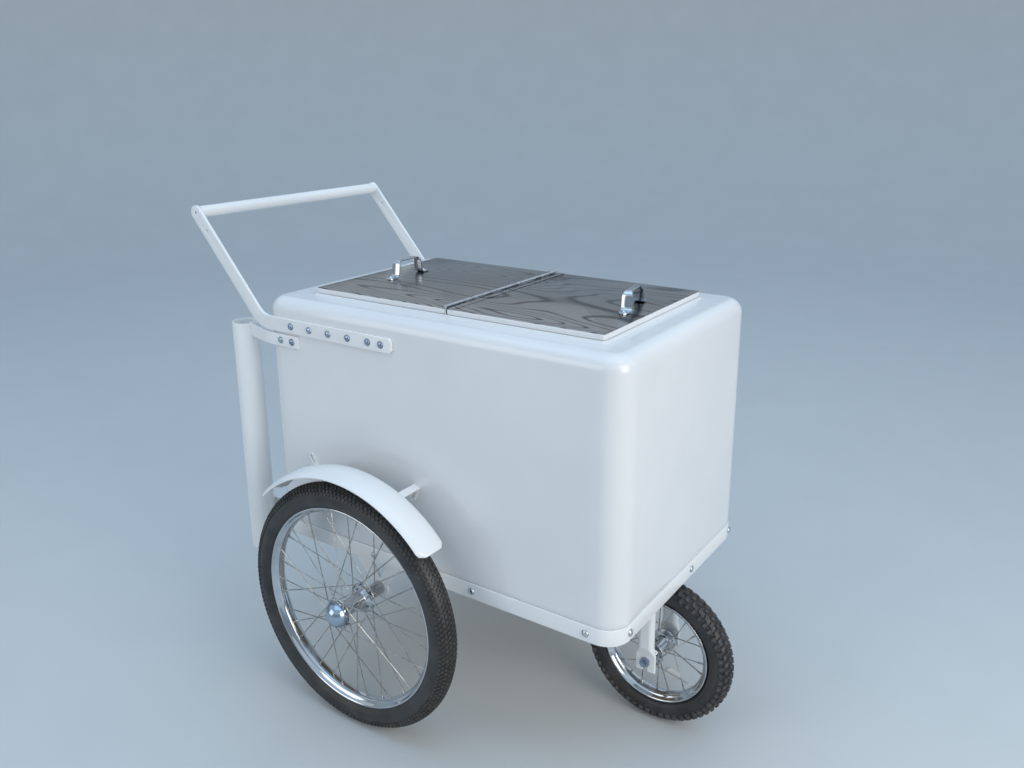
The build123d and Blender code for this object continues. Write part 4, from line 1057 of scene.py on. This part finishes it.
def makeHubCap(name, body, side):
    centre = nodeMiddle(f"{name}rim")
    low, high = nodeBox(f"{name}hub_cap")
    radius, depth = (high.x - low.x) / 2, high.y - low.y
    foot = (high.y if side < 0 else low.y)
    dome = (radius ** 2 + depth ** 2) / (2 * depth)
    limit = asin(radius / dome)
    outer = [(dome * sin(limit * k / hubCap["steps"]), depth - dome + dome * cos(limit * k / hubCap["steps"]))
             for k in range(hubCap["steps"] + 1)]
    inner = [(r * (1 - hubCap["wall"] / radius), h - hubCap["wall"]) for r, h in reversed(outer)]
    lip = [(radius + hubCap["lip"], 0.6), (radius + hubCap["lip"], -0.6), (radius - hubCap["wall"], -0.6)]
    mesh = spinProfile(outer + lip + inner[1:], (centre.x, foot, centre.z), "Y", side, steps=56,
                       sharpAngle=60)
    # The dome cap's blue-grey is a painted sky reflection in its base colour.
    addPiece(f"{name}dome_cap", mesh, "capSteelSkyReflection", body, (f"{name}hub_cap",))


for name, side in sides:
    body = f"{name}_wheel"
    makeTyre(f"{name}_", body, rearWheel, tread["rear"], ("smoothRubber", "treadRubber"))
    makeRim(f"{name}_", body, rearWheel)
    makeSpokes(f"{name}_", body, rearWheel, side)
    makeHub(f"{name}_", body, rearWheel, side)
    makeHubCap(f"{name}_", body, side)
makeTyre("front_", "front_wheel", frontWheel, tread["front"], ("smoothRubber", "knobRubber"))
makeRim("front_", "front_wheel", frontWheel)
makeSpokes("front_", "front_wheel", frontWheel, -1)
makeHub("front_", "front_wheel", frontWheel, -1)
print("wheels ready")

# Hidden and plain CAD parts keep their shape and get a finish.
keptFinishes = {
    "whiteLiner": ("inner_liner",),
    "cutFoam": ("insulation_panels",),
    "plywood": ("base_panel",),
    "whiteEnamel": ("steering_plate", "axle_plate", "centre_bar", "umbrella_bracket", "right_axle_bracket",
                    "left_axle_bracket", "right_fender_tabs", "left_fender_tabs", "front_fork"),
    "hingeSteel": ("hinge_pin", "hinge_base"),
    "zincSteel": ("axle_nuts", "kingpin_nut", "front_axle_nuts", "front_axle"),
    "bearingSteel": ("right_stub_axle", "left_stub_axle", "thrust_bearing", "right_bearings",
                     "left_bearings"),
    "clearLens": ("spoke_reflector",),
}

for material, names in keptFinishes.items():
    for node in names:
        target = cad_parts[node]
        for materialSlot in target.material_slots:
            materialSlot.link = "OBJECT"
            materialSlot.material = finish[material]
        if not target.material_slots:
            target.data.materials.append(finish[material])
print("kept parts finished")

stage = dict(flatR=5, bowlR=9, wallZ=4.0, steps=64, floorColour=(0.56, 0.58, 0.58),
             floorHigh=(0.60, 0.62, 0.62))
lights = (
    dict(name="skyPanel", place=(0.2, -0.3, 3.4), aim=(0, 0, 0.5), size=(3.6, 3.0), power=28,
         colour=(0.58, 0.81, 1)),
    dict(name="sidePanel", place=(-1.8, -3.4, 1.7), aim=(0, 0, 0.5), size=(2.4, 2.0), power=24,
         colour=(1, 0.97, 0.92)),
    dict(name="frontPanel", place=(3.3, -0.9, 1.6), aim=(0, 0, 0.55), size=(2.2, 2.4), power=62,
         colour=(1, 0.94, 0.86)),
)


def aimed(place, aim):
    return (Vector(aim) - Vector(place)).to_track_quat("-Z", "Y")


def makeStage():
    rings = []
    for step in range(13):
        turn = radians(90 * step / 12)
        reach = stage["bowlR"] - stage["flatR"]
        rings.append((stage["flatR"] + reach * sin(turn), stage["wallZ"] * (1 - cos(turn))))
    count = stage["steps"]
    points = [(radius * cos(2 * pi * k / count), radius * sin(2 * pi * k / count), z)
              for radius, z in rings for k in range(count)]
    faces = [tuple(range(count))]
    faces += [(row * count + k, (row + 1) * count + k, (row + 1) * count + (k + 1) % count,
               row * count + (k + 1) % count) for row in range(len(rings) - 1) for k in range(count)]
    mesh = bpy.data.meshes.new("floor")
    mesh.from_pydata(points, [], faces)
    mesh.shade_smooth()
    material, tree, shader = newMaterial("floorPaint")
    grain = addNode(tree, "ShaderNodeGroup", node_tree=grainGroup)
    painted = mixColours(tree, grain.outputs["Broad"], stage["floorColour"], stage["floorHigh"])
    tree.links.new(painted, shader.inputs["Base Color"])
    shader.inputs["Roughness"].default_value = 0.9
    mesh.materials.append(material)
    floor = bpy.data.objects.new("floor", mesh)
    bpy.context.scene.collection.objects.link(floor)
    for light in lights:
        data = bpy.data.lights.new(light["name"], "AREA")
        data.shape = "RECTANGLE"
        data.size, data.size_y = light["size"]
        data.energy = light["power"]
        data.color = light["colour"]
        lamp = bpy.data.objects.new(light["name"], data)
        lamp.location = light["place"]
        lamp.rotation_mode = "QUATERNION"
        lamp.rotation_quaternion = aimed(light["place"], light["aim"])
        bpy.context.scene.collection.objects.link(lamp)


sky = dict(zenith=(0.46, 0.70, 1.0), horizon=(0.92, 0.91, 0.89), ground=(0.60, 0.60, 0.60), strength=0.8)


def makeSky():
    world = bpy.data.worlds.new("softSky")
    bpy.context.scene.world = world
    world.use_nodes = True
    tree = world.node_tree
    coords = addNode(tree, "ShaderNodeTexCoord")
    parts = addNode(tree, "ShaderNodeSeparateXYZ", {"Vector": coords.outputs["Generated"]})
    level = mapRange(tree, parts.outputs["Z"], (-1, 1))
    ramp = addNode(tree, "ShaderNodeValToRGB", {"Fac": level})
    ramp.color_ramp.elements[0].position = 0.45
    ramp.color_ramp.elements[0].color = (*sky["ground"], 1)
    ramp.color_ramp.elements[1].position = 1.0
    ramp.color_ramp.elements[1].color = (*sky["zenith"], 1)
    middle = ramp.color_ramp.elements.new(0.55)
    middle.color = (*sky["horizon"], 1)
    background = tree.nodes["Background"]
    tree.links.new(ramp.outputs[0], background.inputs["Color"])
    background.inputs["Strength"].default_value = sky["strength"]


makeStage()
makeSky()
bpy.context.scene.view_settings.view_transform = "Standard"
print("stage ready")
